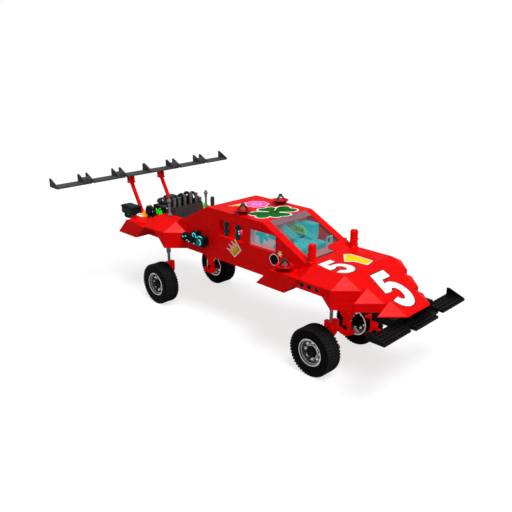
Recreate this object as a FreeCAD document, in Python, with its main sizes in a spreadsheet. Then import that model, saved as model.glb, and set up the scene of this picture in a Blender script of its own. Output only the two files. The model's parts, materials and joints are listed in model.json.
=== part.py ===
import FreeCAD, Part
import Sketcher
import math
import os

# Toy race car built from studded bricks: sizes are counted in studs, and one stud is 8 mm.
# Frame: X forward, Y to the car's left, Z up, ground at Z = 0, millimetres.

V = FreeCAD.Vector
doc = FreeCAD.newDocument("race_car")

# Sizes

SIZES = {
    "stud": 8.0,
    "plate": 0.4,
    "centre": 12.935,
    "sill": 8.2,
    "deck": 11.2,
    "roof_top": 14.2,
    "ledge": 10.2,
    "half_body": 4.0,
    "half_fender": 6.0,
    "wall": 1.0,
    "slope_foot": 2.5,
    "roof_rear": 8.5,
    "roof_front": 17.5,
    "screen_foot": 23.5,
    "hood_front": 28.5,
    "tail_end": -7.5,
    "window_rear": 15.5,
    "window_front": 19.4,
    "niche_rear": 10.5,
    "niche_front": 14.5,
    "opening_low": 11.2,
    "opening_high": 13.1,
    "tyre_radius": 2.65,
    "rim_radius": 1.5,
    "axle_radius": 0.3,
    "running_gap": 0.006,
    "strut_y": 3.04,
    "post_y": 2.5,
    "wing_pivot_x": -9.1,
    "wing_pivot_z": 14.65,
    "wing_low": 15.2,
    "hole": 0.3,
}

sheet = doc.addObject("Spreadsheet::Sheet", "Sizes")
for row, (word, number) in enumerate(SIZES.items(), start=1):
    sheet.set(f"A{row}", word)
    sheet.set(f"B{row}", str(number))
    sheet.setAlias(f"B{row}", word)
doc.recompute()


def named(text):
    """The same formula with each word of the sheet named in full."""
    parts = []
    word = ""
    for letter in str(text) + " ":
        if letter.isalnum() or letter in "_.":
            word += letter
            continue
        parts.append(f"Sizes.{word}" if word in SIZES else word)
        parts.append(letter)
        word = ""
    return "".join(parts).strip()


def along(text):
    """A place along the car, counted in studs from the rear axle."""
    return f"(({named(text)}) - Sizes.centre) * Sizes.stud"


def span(text):
    """A length, or a place across or up, counted in studs."""
    return f"({named(text)}) * Sizes.stud"


def value(formula):
    return float(sheet.evalExpression(formula))


# Building blocks

PLANES = {
    "side": FreeCAD.Rotation(V(1, 0, 0), 90),
    "top": FreeCAD.Rotation(),
    "front": FreeCAD.Rotation(V(1, 1, 1), 120),
}


def outline(name, plane, corners, offset, home=False):
    """A closed sketch through the corners, each held by two dimensions from the sheet."""
    sketch = doc.addObject("Sketcher::SketchObject", name)
    places = []
    for first, second in corners:
        a = span(first) if home or plane == "front" else along(first)
        places.append((a, span(second)))
    points = [V(value(a), value(b), 0) for a, b in places]
    count = len(points)
    for i in range(count):
        sketch.addGeometry(Part.LineSegment(points[i], points[(i + 1) % count]), False)
    for i in range(count):
        sketch.addConstraint(Sketcher.Constraint("Coincident", i, 2, (i + 1) % count, 1))
    for i, (a, b) in enumerate(places):
        across = sketch.addConstraint(Sketcher.Constraint("DistanceX", -1, 1, i, 1, points[i].x))
        up = sketch.addConstraint(Sketcher.Constraint("DistanceY", -1, 1, i, 1, points[i].y))
        sketch.setExpression(f"Constraints[{across}]", a)
        sketch.setExpression(f"Constraints[{up}]", b)
    sketch.Placement = FreeCAD.Placement(V(0, 0, 0), PLANES[plane])
    axis = {"side": "y", "top": "z", "front": "x"}[plane]
    sketch.setExpression(f"Placement.Base.{axis}", offset)
    return sketch


def prism(name, plane, corners, start, end):
    """A solid with the given outline, from one offset to a higher one."""
    if plane == "side":
        base = span(end)
        length = f"{span(end)} - {span(start)}"
    elif plane == "top":
        base = span(start)
        length = f"{span(end)} - {span(start)}"
    else:
        base = along(start)
        length = f"{along(end)} - {along(start)}"
    sketch = outline(name + "_outline", plane, corners, base)
    solid = doc.addObject("Part::Extrusion", name)
    solid.Base = sketch
    solid.DirMode = "Normal"
    solid.Solid = True
    solid.LengthFwd = 1
    solid.setExpression("LengthFwd", length)
    return solid


def box(name, low, high):
    """A box from its low corner to its high one, in studs."""
    solid = doc.addObject("Part::Box", name)
    starts = [along(low[0]), span(low[1]), span(low[2])]
    ends = [along(high[0]), span(high[1]), span(high[2])]
    for size, start, end in zip(("Length", "Width", "Height"), starts, ends):
        solid.setExpression(size, f"{end} - {start}")
    for axis, start in zip("xyz", starts):
        solid.setExpression(f"Placement.Base.{axis}", start)
    return solid


TURNS = {
    "x": FreeCAD.Rotation(V(0, 1, 0), 90),
    "y": FreeCAD.Rotation(V(1, 0, 0), -90),
    "z": FreeCAD.Rotation(),
}


def round_bar(name, radius, sides):
    """A cylinder, or a prism with a number of flat sides for a small fitting."""
    if sides:
        solid = doc.addObject("Part::Prism", name)
        solid.Polygon = sides
        solid.setExpression("Circumradius", span(radius))
    else:
        solid = doc.addObject("Part::Cylinder", name)
        solid.setExpression("Radius", span(radius))
    return solid


def rod(name, axis, place, radius, length, sides=0, home=False):
    """A round bar from a place towards plus axis, in studs."""
    solid = round_bar(name, radius, sides)
    solid.setExpression("Height", span(length))
    solid.Placement = FreeCAD.Placement(V(0, 0, 0), TURNS[axis])
    starts = [span(place[0]) if home else along(place[0]), span(place[1]), span(place[2])]
    for letter, start in zip("xyz", starts):
        solid.setExpression(f"Placement.Base.{letter}", start)
    return solid


def taper(name, axis, place, radius, tip, length, sides, half_step=0.0, home=False):
    """A bar with flat sides that narrows or widens towards plus axis, turned by part of a side."""
    starts = [span(place[0]) if home else along(place[0]), span(place[1]), span(place[2])]
    base = V(*[value(start) for start in starts])
    rings = []
    for size, rise in ((radius, "0"), (tip, length)):
        reach = value(span(size))
        spots = []
        for i in range(sides):
            angle = 2 * math.pi * (i + half_step) / sides
            spot = V(reach * math.cos(angle), reach * math.sin(angle), value(span(rise)))
            spots.append(TURNS[axis].multVec(spot) + base)
        rings.append(spots)
    faces = [Part.Face(Part.makePolygon(spots + spots[:1])) for spots in rings]
    for i in range(sides):
        j = (i + 1) % sides
        corners = [rings[0][i], rings[0][j], rings[1][j], rings[1][i], rings[0][i]]
        faces.append(Part.Face(Part.makePolygon(corners)))
    shape = Part.makeSolid(Part.makeShell(faces))
    solid = doc.addObject("Part::Feature", name)
    solid.Shape = shape if shape.Volume > 0 else shape.reversed()
    return solid


def bar(name, foot, tip, radius, sides=0):
    """A straight round bar between two places, in any direction."""
    low = V(value(along(foot[0])), value(span(foot[1])), value(span(foot[2])))
    high = V(value(along(tip[0])), value(span(tip[1])), value(span(tip[2])))
    solid = round_bar(name, radius, sides)
    solid.Height = (high - low).Length
    solid.Placement = FreeCAD.Placement(low, FreeCAD.Rotation(V(0, 0, 1), high - low))
    for letter, start in zip("xyz", (along(foot[0]), span(foot[1]), span(foot[2]))):
        solid.setExpression(f"Placement.Base.{letter}", start)
    return solid


def slicer(name, normal, place):
    """A large block whose underside lies in the plane through a place, to cut off what is beyond it."""
    side = 14.0
    turn = FreeCAD.Rotation(V(0, 0, 1), V(*normal))
    shift = turn.multVec(V(-side / 2, -side / 2, 0))
    solid = doc.addObject("Part::Box", name)
    for size in ("Length", "Width", "Height"):
        solid.setExpression(size, span(side))
    solid.Placement = FreeCAD.Placement(V(0, 0, 0), turn)
    starts = (along(place[0]), span(place[1]), span(place[2]))
    for letter, start, offset in zip("xyz", starts, shift):
        solid.setExpression(f"Placement.Base.{letter}", f"{start} + ({offset:.6f}) * Sizes.stud")
    return solid


def joined(name, parts):
    solid = doc.addObject("Part::MultiFuse", name)
    solid.Shapes = parts
    solid.Refine = True
    return solid


def together(name, parts):
    """Like pieces that don't touch, kept as one set."""
    group = doc.addObject("Part::Compound", name)
    group.Links = parts
    return group


def cut(name, base, tools):
    solid = doc.addObject("Part::Cut", name)
    solid.Base = base
    solid.Tool = tools[0] if len(tools) == 1 else joined(name + "_tools", tools)
    solid.Refine = True
    return solid


def shared(name, first, second):
    """What two solids have in common."""
    solid = doc.addObject("Part::Common", name)
    solid.Base = first
    solid.Tool = second
    return solid


def mirrored(name, part):
    """The same piece on the other side of the car."""
    copy = doc.addObject("Part::Mirroring", name)
    copy.Source = part
    copy.Normal = V(0, 1, 0)
    copy.Base = V(0, 0, 0)
    return copy


def both_sides(label, part):
    """A node with the near piece and its mirror image."""
    return node(together(label, [part, mirrored("far_" + part.Name, part)]), label)


nodes = []


def node(part, label):
    part.Label = label
    nodes.append(part)
    return part


# Floor and side walls

floor = prism(
    "floor",
    "top",
    [
        ("tail_end", "-half_body"),
        ("hood_front", "-half_body"),
        ("hood_front", "half_body"),
        ("tail_end", "half_body"),
    ],
    "sill",
    "sill + plate",
)
node(floor, "chassis_plate")

wall_sheet = prism(
    "wall_sheet",
    "side",
    [
        ("tail_end", "sill + plate"),
        ("hood_front", "sill + plate"),
        ("hood_front", "ledge"),
        ("screen_foot", "ledge"),
        ("screen_foot", "deck"),
        ("roof_front", "roof_top"),
        ("roof_rear", "roof_top"),
        ("slope_foot", "deck"),
        ("slope_foot - 4", "deck"),
        ("slope_foot - 6", "ledge"),
        ("tail_end", "ledge"),
    ],
    "-half_body",
    "-half_body + wall",
)
window_hole = box(
    "window_hole",
    ("window_rear", "-half_body - 1", "opening_low"),
    ("window_front", "-1", "opening_high"),
)
niche_hole = box(
    "niche_hole",
    ("niche_rear", "-half_body - 1", "opening_low"),
    ("niche_front", "-half_body + wall - 0.2", "opening_high"),
)
right_wall = cut("right_wall", wall_sheet, [window_hole, niche_hole])
node(right_wall, "right_wall")
node(mirrored("left_wall", right_wall), "left_wall")

# Roof, sloping back, cabin and glass

roof = box(
    "roof",
    ("roof_rear", "-half_body + wall", "roof_top - plate"),
    ("roof_front", "half_body - wall", "roof_top"),
)
node(roof, "roof")

rear_slope = prism(
    "rear_slope",
    "side",
    [
        ("slope_foot", "ledge"),
        ("slope_foot", "deck"),
        ("roof_rear", "roof_top"),
        ("roof_rear", "roof_top - plate"),
        ("slope_foot + 0.8", "deck"),
        ("slope_foot + 0.8", "ledge"),
    ],
    "-half_body + wall",
    "half_body - wall",
)
node(rear_slope, "rear_slope")

bulkhead = box(
    "bulkhead",
    ("roof_rear + 0.5", "-half_body + wall", "sill + plate"),
    ("roof_rear + 1.5", "half_body - wall", "roof_top - plate"),
)
node(bulkhead, "bulkhead")

screen_pane = prism(
    "screen_pane",
    "side",
    [
        ("roof_front", "roof_top - 0.4"),
        ("roof_front", "roof_top"),
        ("screen_foot", "deck"),
        ("screen_foot", "deck - 0.4"),
    ],
    "-half_body + wall",
    "half_body - wall",
)
corner_room = box("corner_room", ("screen_foot - 1", "1", "ledge"), ("screen_foot + 1", "4", "roof_top"))
node(cut("windscreen", screen_pane, [corner_room]), "windscreen")

clear_brick = box(
    "clear_brick",
    ("window_rear", "-half_body", "opening_low"),
    ("window_front", "-half_body + wall", "opening_high"),
)
clear_hollow = box(
    "clear_hollow",
    ("window_rear + 0.15", "-half_body + 0.2", "opening_low + 0.15"),
    ("window_front - 0.15", "-half_body + wall + 1", "opening_high - 0.15"),
)
both_sides("side_windows", cut("side_window", clear_brick, [clear_hollow]))

seat_base = box("seat_base", ("13.6", "-1.6", "sill + plate"), ("17.2", "1.6", "10.4"))
seat_back = prism(
    "seat_back",
    "side",
    [("13.0", "sill + plate"), ("14.4", "sill + plate"), ("14.0", "12.9"), ("12.8", "12.9")],
    "-1.5",
    "1.5",
)
node(joined("seat", [seat_base, seat_back]), "seat")

dash_block = prism(
    "dash_block",
    "side",
    [
        ("19.6", "sill + plate"),
        ("screen_foot", "sill + plate"),
        ("screen_foot", "deck - 0.9"),
        ("21.0", "deck"),
        ("19.6", "deck"),
    ],
    "-half_body + wall",
    "half_body - wall",
)
column = bar("column", ("19.8", "-0.2", "10.8"), ("18.5", "-0.2", "11.5"), "0.15", 6)
wheel_disc = bar("wheel_disc", ("18.6", "-0.2", "11.45"), ("18.45", "-0.2", "11.53"), "0.8", 12)
node(joined("dashboard", [dash_block, column, wheel_disc]), "dashboard")

# Rear deck and fenders

deck_block = box(
    "deck_block",
    ("tail_end", "-half_body + wall", "sill + plate"),
    ("roof_rear + 0.5", "half_body - wall", "ledge"),
)
rail = prism(
    "rail",
    "side",
    [
        ("slope_foot - 6", "ledge"),
        ("slope_foot", "ledge"),
        ("slope_foot", "deck"),
        ("slope_foot - 4", "deck"),
    ],
    "-half_body + wall",
    "-2.4",
)
node(joined("rear_deck", [deck_block, rail, mirrored("far_rail", rail)]), "rear_deck")


def fender(name, front):
    """A wheel cover with a facet at each end, and a chamfered skirt in front of the wheel."""
    cover = prism(
        name + "_cover",
        "front",
        [
            ("-half_fender", "ledge - 0.2"),
            ("-half_fender", "ledge"),
            ("-half_body", "deck"),
            ("-half_body", "ledge - 0.2"),
        ],
        f"{front} - 6",
        f"{front} + 2",
    )
    front_facet = slicer(name + "_front_facet", (1, -1, 2), (front, "-half_fender", "ledge"))
    rear_facet = slicer(name + "_rear_facet", (-1, -1, 2), (f"{front} - 4", "-half_fender", "ledge"))
    front_edge = slicer(name + "_front_edge", (1, -1, 0), (front, "-half_fender", "ledge"))
    rear_edge = slicer(name + "_rear_edge", (-1, -1, 0), (f"{front} - 4", "-half_fender", "ledge"))
    skirt = prism(
        name + "_skirt",
        "side",
        [
            (f"{front} - 2", "ledge"),
            (front, "sill"),
            (f"{front} + 2", "sill"),
            (f"{front} + 2", "ledge"),
        ],
        "-half_fender",
        "-half_body",
    )
    whole = joined(name + "_whole", [cover, skirt])
    return cut(name, whole, [front_facet, rear_facet, front_edge, rear_edge])


both_sides("rear_fenders", fender("rear_fender", "slope_foot"))
both_sides("front_fenders", fender("front_fender", "hood_front"))

pod = prism(
    "pod",
    "side",
    [
        ("tail_end", "sill"),
        ("tail_end + 4", "sill"),
        ("tail_end + 6", "ledge - 0.2"),
        ("tail_end + 6", "ledge"),
        ("tail_end + 2", "ledge"),
    ],
    "-half_fender",
    "-half_body",
)
pod_corner = slicer("pod_corner", (1, -1, 0), ("tail_end + 4", "-half_fender", "ledge"))
pod_edge = slicer("pod_edge", (1, 1, 0), ("tail_end + 6", "-half_fender", "ledge"))
pod_front = box(
    "pod_front",
    ("tail_end + 4", "-half_fender - 1", "ledge - 0.2"),
    ("0", "-half_body + 1", "deck"),
)
pod_cuts = [shared("pod_corner_cut", pod_corner, pod_front), shared("pod_edge_cut", pod_edge, pod_front)]
both_sides("tail_pods", cut("tail_pod", pod, pod_cuts))

# Side sponsons and perforated beams

sponson_block = prism(
    "sponson_block",
    "side",
    [("18.5", "sill"), ("22.5", "sill"), ("24.5", "ledge"), ("20.5", "ledge")],
    "-half_fender",
    "-half_body",
)
beam_room = box("beam_room", ("22.9", "-5.01", "sill + 0.6"), ("25", "-half_body + 1", "ledge + 0.1"))
sponson_tip = prism(
    "sponson_tip",
    "side",
    [("22.9", "ledge - 0.2"), ("24.3", "ledge - 0.2"), ("24.5", "ledge"), ("22.9", "ledge")],
    "-half_fender",
    "-half_body",
)
fender_room = slicer("fender_room", (1, 1, 0), ("22.5", "-half_body", "ledge"))
cover_room = box(
    "cover_room",
    ("22.4", "-half_fender - 1", "ledge - 0.2"),
    ("25", "-half_body + 1", "ledge + 1"),
)
sponson = cut("sponson", sponson_block, [beam_room, shared("tip_room", fender_room, cover_room)])
both_sides("sponsons", sponson)

beam_bar = box("beam_bar", ("22.9", "-5", "sill + 0.6"), ("26.6", "-half_body", "ledge - 0.2"))
beam_holes = [rod("beam_end_hole", "y", ("24", "-5.5", "sill + 1.1"), "hole", "1.5", 12)]
for x in ("25", "26"):
    beam_holes.append(rod(f"beam_hole_{x}", "y", (x, "-5.5", "sill + 1.1"), "hole", "1.5"))
both_sides("fender_beams", cut("fender_beam", beam_bar, beam_holes))

# Hood and nose

hood_block = box("hood_block", ("screen_foot", "-half_body", "ledge"), ("hood_front", "half_body", "deck"))
grooves = []
for i, side in enumerate((-2, 2)):
    low = ("screen_foot + 0.8", f"{side} - 0.03", "deck - 0.05")
    grooves.append(box(f"groove_{i}", low, ("hood_front", f"{side} + 0.03", "deck + 1")))
hood_corner = prism(
    "hood_corner",
    "side",
    [
        ("screen_foot - 1", "deck - 0.54"),
        ("screen_foot", "deck - 0.9"),
        ("screen_foot", "deck"),
        ("screen_foot - 1", "deck + 0.5"),
    ],
    "1",
    "half_body - wall",
)
node(cut("hood", joined("hood_whole", [hood_block, hood_corner]), grooves), "hood")


def nose_step(name, start, half_width, low):
    """One step of the nose: its top follows the nose slope, and its front corners are faceted."""
    run = prism(
        name + "_run",
        "side",
        [
            (start, low),
            (f"{start} + 2", low),
            (f"{start} + 2", f"deck - (({start}) + 2 - hood_front) / 2"),
            (start, f"deck - (({start}) - hood_front) / 2"),
        ],
        f"-({half_width})",
        half_width,
    )
    corner = f"deck - (({start}) - hood_front) / 2 - 1"
    tools = []
    for side in (-1, 1):
        reach = f"{side} * ({half_width})"
        tools.append(slicer(f"{name}_facet_{side + 1}", (1, side, 2), (start, reach, corner)))
        tools.append(slicer(f"{name}_edge_{side + 1}", (1, side, 0), (start, reach, corner)))
    return cut(name, run, tools)


neck = box("neck", ("hood_front", "-half_body", "sill"), ("hood_front + 2", "half_body", "ledge"))
neck_top = prism(
    "neck_top",
    "side",
    [("hood_front", "ledge"), ("hood_front + 2", "ledge"), ("hood_front", "deck")],
    "-half_body",
    "half_body",
)
step_b = nose_step("nose_middle", "hood_front + 2", "5", "sill + 0.1")
step_c = nose_step("nose_front", "hood_front + 4", "4", "sill - 0.08")
node(joined("nose", [neck, neck_top, step_b, step_c]), "nose")

# Engine on the rear deck

rear_part = prism(
    "rear_part",
    "side",
    [
        ("-4.5", "ledge"),
        ("0.2", "ledge"),
        ("0.2", "12.2"),
        ("-3.2", "12.0"),
        ("-4.5", "11.8"),
    ],
    "-2.3",
    "2.3",
)
shoulder_near = slicer("shoulder_near", (0, -1, 1), ("0", "-2.3", "11.9"))
shoulder_far = slicer("shoulder_far", (0, 1, 1), ("0", "2.3", "11.9"))
shoulder_room = box("shoulder_room", ("-6", "-3", "ledge"), ("-0.7", "3", "13"))
block_cut = [
    shared("near_shoulder_cut", shoulder_near, shoulder_room),
    shared("far_shoulder_cut", shoulder_far, shoulder_room),
]
node(cut("engine_block", rear_part, block_cut), "engine_block")

PIPES = {-2.1: 1.05, -1.35: 1.05, -0.45: 1.25, 0.5: 1.35, 1.45: 1.2, 2.1: 0.5}


def stack(name, y, rise):
    """A pipe that stands on the front edge of the engine and bends back down to it."""
    bend = min(0.65, rise)
    foot = 12.0
    top = 12.2 + rise - bend
    corners = [(-0.1, foot), (-0.1, top)]
    for i in range(1, 5):
        angle = math.radians(36 * i)
        corners.append((-0.1 - bend + bend * math.cos(angle), top + bend * math.sin(angle)))
    corners += [(-0.1 - 2 * bend, top), (-0.1 - 2 * bend, foot)]
    places = []
    for x, z in corners:
        places.append(V(value(along(f"{x:.4f}")), value(span(f"{y}")), value(span(f"{z:.4f}"))))
    route = doc.addObject("Part::Feature", name + "_route")
    route.Shape = Part.makePolygon(places)
    section = doc.addObject("Part::RegularPolygon", name + "_section")
    section.Polygon = 6
    section.setExpression("Circumradius", span("0.18"))
    for letter, start in zip("xyz", (along("-0.1"), span(f"{y}"), span(f"{foot}"))):
        section.setExpression(f"Placement.Base.{letter}", start)
    pipe = doc.addObject("Part::Sweep", name + "_pipe")
    pipe.Sections = [section]
    pipe.Spine = (route, [])
    pipe.Solid = True
    pipe.Transition = "Right corner"
    return cut(name, pipe, [rear_part])


stacks = [stack(f"stack_{i}", y, rise) for i, (y, rise) in enumerate(PIPES.items())]
node(together("engine_stacks", stacks), "engine_stacks")

drum = rod("drum", "z", ("-3.2", "-0.8", "11.75"), "1.2", "0.4", 16)
drum_rim = rod("drum_rim", "z", ("-3.2", "-0.8", "12.15"), "1.5", "0.3", 16)
drum_lid = rod("drum_lid", "z", ("-3.2", "-0.8", "12.45"), "0.4", "0.1", 8)
air_drum = cut("air_drum", joined("drum_whole", [drum, drum_rim, drum_lid]), [rear_part])
node(air_drum, "air_cleaner")

FAN = ("-4.05", "-3.35", "ledge + 0.87")
fan_ring = rod("fan_ring", "y", FAN, "0.87", "0.3", 10)
fan_hollow = rod("fan_hollow", "y", (FAN[0], "-3.55", FAN[2]), "0.74", "0.4", 10)
fan_hub = rod("fan_hub", "y", (FAN[0], "-3.4", FAN[2]), "0.22", "0.35", 6)
blades = []
for i in range(5):
    angle = math.radians(72 * i + 36)
    tip = (f"{FAN[0]} + {0.78 * math.cos(angle):.4f}", "-3.2", f"{FAN[2]} + {0.78 * math.sin(angle):.4f}")
    blades.append(bar(f"fan_blade_{i}", (FAN[0], "-3.2", FAN[2]), tip, "0.1", 4))
fan_dish = cut("fan_dish", fan_ring, [fan_hollow])
both_sides("cooling_fans", joined("cooling_fan", [fan_dish, fan_hub] + blades))

tail_box = box("tail_box", ("-9.1", "-4.3", "ledge"), ("-6.5", "-2.9", "ledge + 1.1"))
lid_edge = box("lid_edge", ("-9.2", "-4.4", "ledge + 0.9"), ("-6.4", "-2.8", "ledge + 1.0"))
both_sides("tail_boxes", joined("tail_case", [tail_box, lid_edge]))

nozzle_body = rod("nozzle_body", "x", ("-9.3", "-3.4", "ledge - 0.5"), "0.45", "1.8", 12)
nozzle_mouth = rod("nozzle_mouth", "x", ("-9.6", "-3.4", "ledge - 0.5"), "0.3", "1.2", 12)
both_sides("tail_nozzles", cut("tail_nozzle", nozzle_body, [nozzle_mouth]))

# Fittings on the walls

barrel = rod("barrel", "x", ("4.6", "-4.55", "9.95"), "0.5", "2.95", 8)
barrel_rings = []
for i in range(2):
    place = (f"{4.8 + 0.7 * i:.1f}", "-4.55", "9.95")
    barrel_rings.append(rod(f"barrel_ring_{i}", "x", place, "0.54", "0.25", 8))
clip_top = box("clip_top", ("6.5", "-4.8", "10.2"), ("7.3", "-half_body", "11.0"))
housing = rod("housing", "y", ("8.1", "-5.0", "10.05"), "0.65", "1.0", 12)
pod_whole = joined("turbine_pod", [barrel, clip_top, housing] + barrel_rings)
both_sides("turbine_pods", pod_whole)
both_sides("pod_lenses", rod("pod_lens", "y", ("8.1", "-5.1", "10.05"), "0.5", "0.1", 12))

spools = []
for i, x in enumerate((11.4, 13.3)):
    height = "opening_high - opening_low"
    spools.append(rod(f"spool_core_{i}", "z", (f"{x}", "-3.6", "opening_low"), "0.22", height, 6))
    for j in range(2):
        z = f"opening_low + {0.3 + j * 0.8:.1f}"
        spools.append(rod(f"spool_ring_{i}{j}", "z", (f"{x}", "-3.6", z), "0.37", "0.5", 6))
near_spools = [joined("spool_0", spools[:3]), joined("spool_1", spools[3:])]
far_spools = [mirrored(f"far_spool_{i}", spool) for i, spool in enumerate(near_spools)]
node(together("niche_spools", near_spools + far_spools), "niche_spools")

lamp = rod("lamp", "y", ("14.1", "-3.9", "12.3"), "0.25", "0.7", 12)
both_sides("niche_lamps", lamp)

# Fittings on top

post_stem = rod("post_stem", "z", ("24", "-3.5", "deck"), "0.42", "2.0", 12)
post_foot = rod("post_foot", "z", ("24", "-3.5", "deck"), "0.5", "0.2", 12)
both_sides("hood_posts", joined("hood_post", [post_stem, post_foot]))


def dish(name, x, y, z):
    """A round bowl with a small foot."""
    outer = taper(name + "_outer", "z", (x, y, f"{z} + 0.1"), "0.5", "1.0", "0.4", 12)
    inner = taper(name + "_inner", "z", (x, y, f"{z} + 0.2"), "0.4", "0.98", "0.4", 12)
    foot = rod(name + "_foot", "z", (x, y, z), "0.4", "0.3", 8)
    return cut(name, joined(name + "_bowl", [outer, foot]), [inner])


def tripod(name, x, y, z, bowl):
    """Three spread legs that stand on the inside of the bowl and meet in a knob above it."""
    legs = []
    for i in range(3):
        angle = math.radians(120 * i - 45)
        across = math.cos(angle)
        up = math.sin(angle)
        foot = (f"{x} + {0.66 * across:.4f}", f"{y} + {0.66 * up:.4f}", f"{z} + 0.36")
        tip = (f"{x} + {0.1 * across:.4f}", f"{y} + {0.1 * up:.4f}", f"{z} + 1.04")
        legs.append(bar(f"{name}_leg_{i}", foot, tip, "0.12", 4))
    knob = rod(name + "_knob", "z", (x, y, f"{z} + 0.9"), "0.22", "0.28", 6)
    return cut(name, joined(name + "_whole", legs + [knob]), [bowl])


DISHES = {"roof": ("13.5", "-3.05", "roof_top"), "sponson": ("21.7", "-5", "ledge")}
near_dishes = {place: dish(f"{place}_dish", *where) for place, where in DISHES.items()}
near_tripods = [tripod(f"{place}_tripod", *where, near_dishes[place]) for place, where in DISHES.items()]
far_dishes = [mirrored("far_" + part.Name, part) for part in near_dishes.values()]
far_tripods = [mirrored("far_" + part.Name, part) for part in near_tripods]
node(together("dishes", list(near_dishes.values()) + far_dishes), "dishes")
node(together("tripods", near_tripods + far_tripods), "tripods")

hilt = rod("hilt", "z", ("0", "-strut_y", "deck"), "0.16", "2.1", 6)
hilt_knob = rod("hilt_knob", "z", ("0", "-strut_y", "deck"), "0.28", "0.6", 6)
hilt_collar = rod("hilt_collar", "z", ("0", "-strut_y", "deck + 1.5"), "0.22", "0.2", 6)
hilt_ball = rod("hilt_ball", "z", ("0", "-strut_y", "deck + 1.92"), "0.27", "0.45", 6)
both_sides("damper_tops", joined("damper_top", [hilt, hilt_knob, hilt_collar, hilt_ball]))
node(rod("deck_tube", "z", ("0.9", "3.4", "deck"), "0.27", "1.6", 12), "deck_tube")

# Wing posts, clips and rear wing


def wing_post(name):
    """A post that leans back from its foot on the deck up to a fork under the wing."""
    head = ("wing_pivot_x + 0.1", "-post_y", "wing_pivot_z - 0.5")
    post = bar(name + "_bar", ("-6.9", "-post_y", "ledge + 0.2"), head, "0.27", 8)
    foot = rod(name + "_foot", "z", ("-6.9", "-post_y", "ledge"), "0.35", "0.4", 8)
    seat_low = ("wing_pivot_x + 0.05", "-post_y", "wing_pivot_z - 0.6")
    flange = rod(name + "_flange", "z", seat_low, "0.58", "0.16", 8)
    cheeks = []
    bores = []
    for i, (start, sides) in enumerate((("-0.4", 0), ("0.17", 12))):
        low = ("wing_pivot_x - 0.3", f"-post_y + {start}", "wing_pivot_z - 0.5")
        high = ("wing_pivot_x + 0.3", f"-post_y + {start} + 0.23", "wing_pivot_z")
        cheeks.append(box(f"{name}_cheek_{i}", low, high))
        place = ("wing_pivot_x", f"-post_y + {start}", "wing_pivot_z")
        cheeks.append(rod(f"{name}_eye_{i}", "y", place, "0.36", "0.23", 8))
        opening = ("wing_pivot_x", f"-post_y + {start} - 0.1", "wing_pivot_z")
        bores.append(rod(f"{name}_bore_{i}", "y", opening, "0.2 + running_gap", "0.43", sides))
    return cut(name, joined(name + "_whole", [post, foot, flange] + cheeks), bores)


both_sides("wing_posts", wing_post("wing_post"))

pin = rod("wing_pin", "y", ("wing_pivot_x", "-post_y - 0.45", "wing_pivot_z"), "0.2", "0.5")
pin_end = rod("wing_pin_end", "y", ("wing_pivot_x", "-post_y", "wing_pivot_z"), "0.18", "0.45", 8)
lug_low = ("wing_pivot_x - 0.24", "-post_y - 0.14", "wing_pivot_z - 0.24")
lug_high = ("wing_pivot_x + 0.24", "-post_y + 0.14", "wing_low")
both_sides("wing_pins", joined("wing_pin_set", [pin, pin_end, box("wing_lug", lug_low, lug_high)]))


def wing_part(name, start):
    """One segment of the rear wing: a thin plate with an upright fin at each end."""
    plate = box(name + "_plate", ("-9.63", start, "wing_low"), ("-7.72", f"{start} + 4", "wing_low + 0.16"))
    pieces = [plate]
    for i, step in enumerate((0, 3.84)):
        pieces.append(
            prism(
                f"{name}_fin_{i}",
                "side",
                [
                    ("-9.63", "wing_low"),
                    ("-7.72", "wing_low"),
                    ("-7.72", "wing_low + 0.25"),
                    ("-9.4", "wing_low + 1.08"),
                    ("-9.63", "wing_low + 1.08"),
                ],
                f"{start} + {step}",
                f"{start} + {step} + 0.16",
            )
        )
    return pieces


wing_pieces = []
for i, start in enumerate(("-14", "-9", "-4", "0", "5", "10")):
    wing_pieces += wing_part(f"wing_{i}", start)
for i, start in enumerate(("-10", "-5", "4", "9")):
    link = box(f"link_{i}", ("-9.3", start, "wing_low - 0.1"), ("-8.1", f"{start} + 1", "wing_low + 0.3"))
    eye = rod(f"link_eye_{i}", "y", ("-8.7", start, "wing_low + 0.35"), "0.42", "1", 8)
    hole = rod(f"link_hole_{i}", "y", ("-8.7", f"{start} + 0.2", "wing_low + 0.35"), "0.2", "0.6", 6)
    wing_pieces.append(cut(f"wing_link_{i}", joined(f"link_whole_{i}", [link, eye]), [hole]))
node(joined("rear_wing", wing_pieces), "rear_wing")

# Front wing under the nose

front_pieces = [
    box("front_near", ("33.5", "-7.2", "7.3"), ("35.5", "-2.9", "7.5")),
    box("front_far", ("33.5", "2.9", "7.3"), ("35.5", "7.2", "7.5")),
    box("front_middle", ("33.4", "-2", "7.05"), ("35.5", "2", "7.3")),
    box("front_arm", ("31.5", "-3.4", "7.3"), ("34", "3.4", "sill - 0.08")),
]
for i, y in enumerate(("-7.2", "7.04")):
    front_pieces.append(
        prism(
            f"front_fin_{i}",
            "side",
            [("33.5", "7.3"), ("35.5", "7.3"), ("35.5", "7.55"), ("33.8", "8.2"), ("33.5", "8.2")],
            y,
            f"{y} + 0.16",
        )
    )
node(joined("front_wing", front_pieces), "front_wing")

# Struts, knuckles and pins

WHEELS = {
    "near_rear": (0.0, -1, 0.0),
    "far_rear": (0.0, 1, 0.0),
    "near_front": (26.0, -1, 0.0),
    "far_front": (25.0, 1, 0.95),
}
REACH = {"near_rear": 0.5, "far_rear": 0.5, "near_front": 1.5, "far_front": 1.5}


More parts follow.
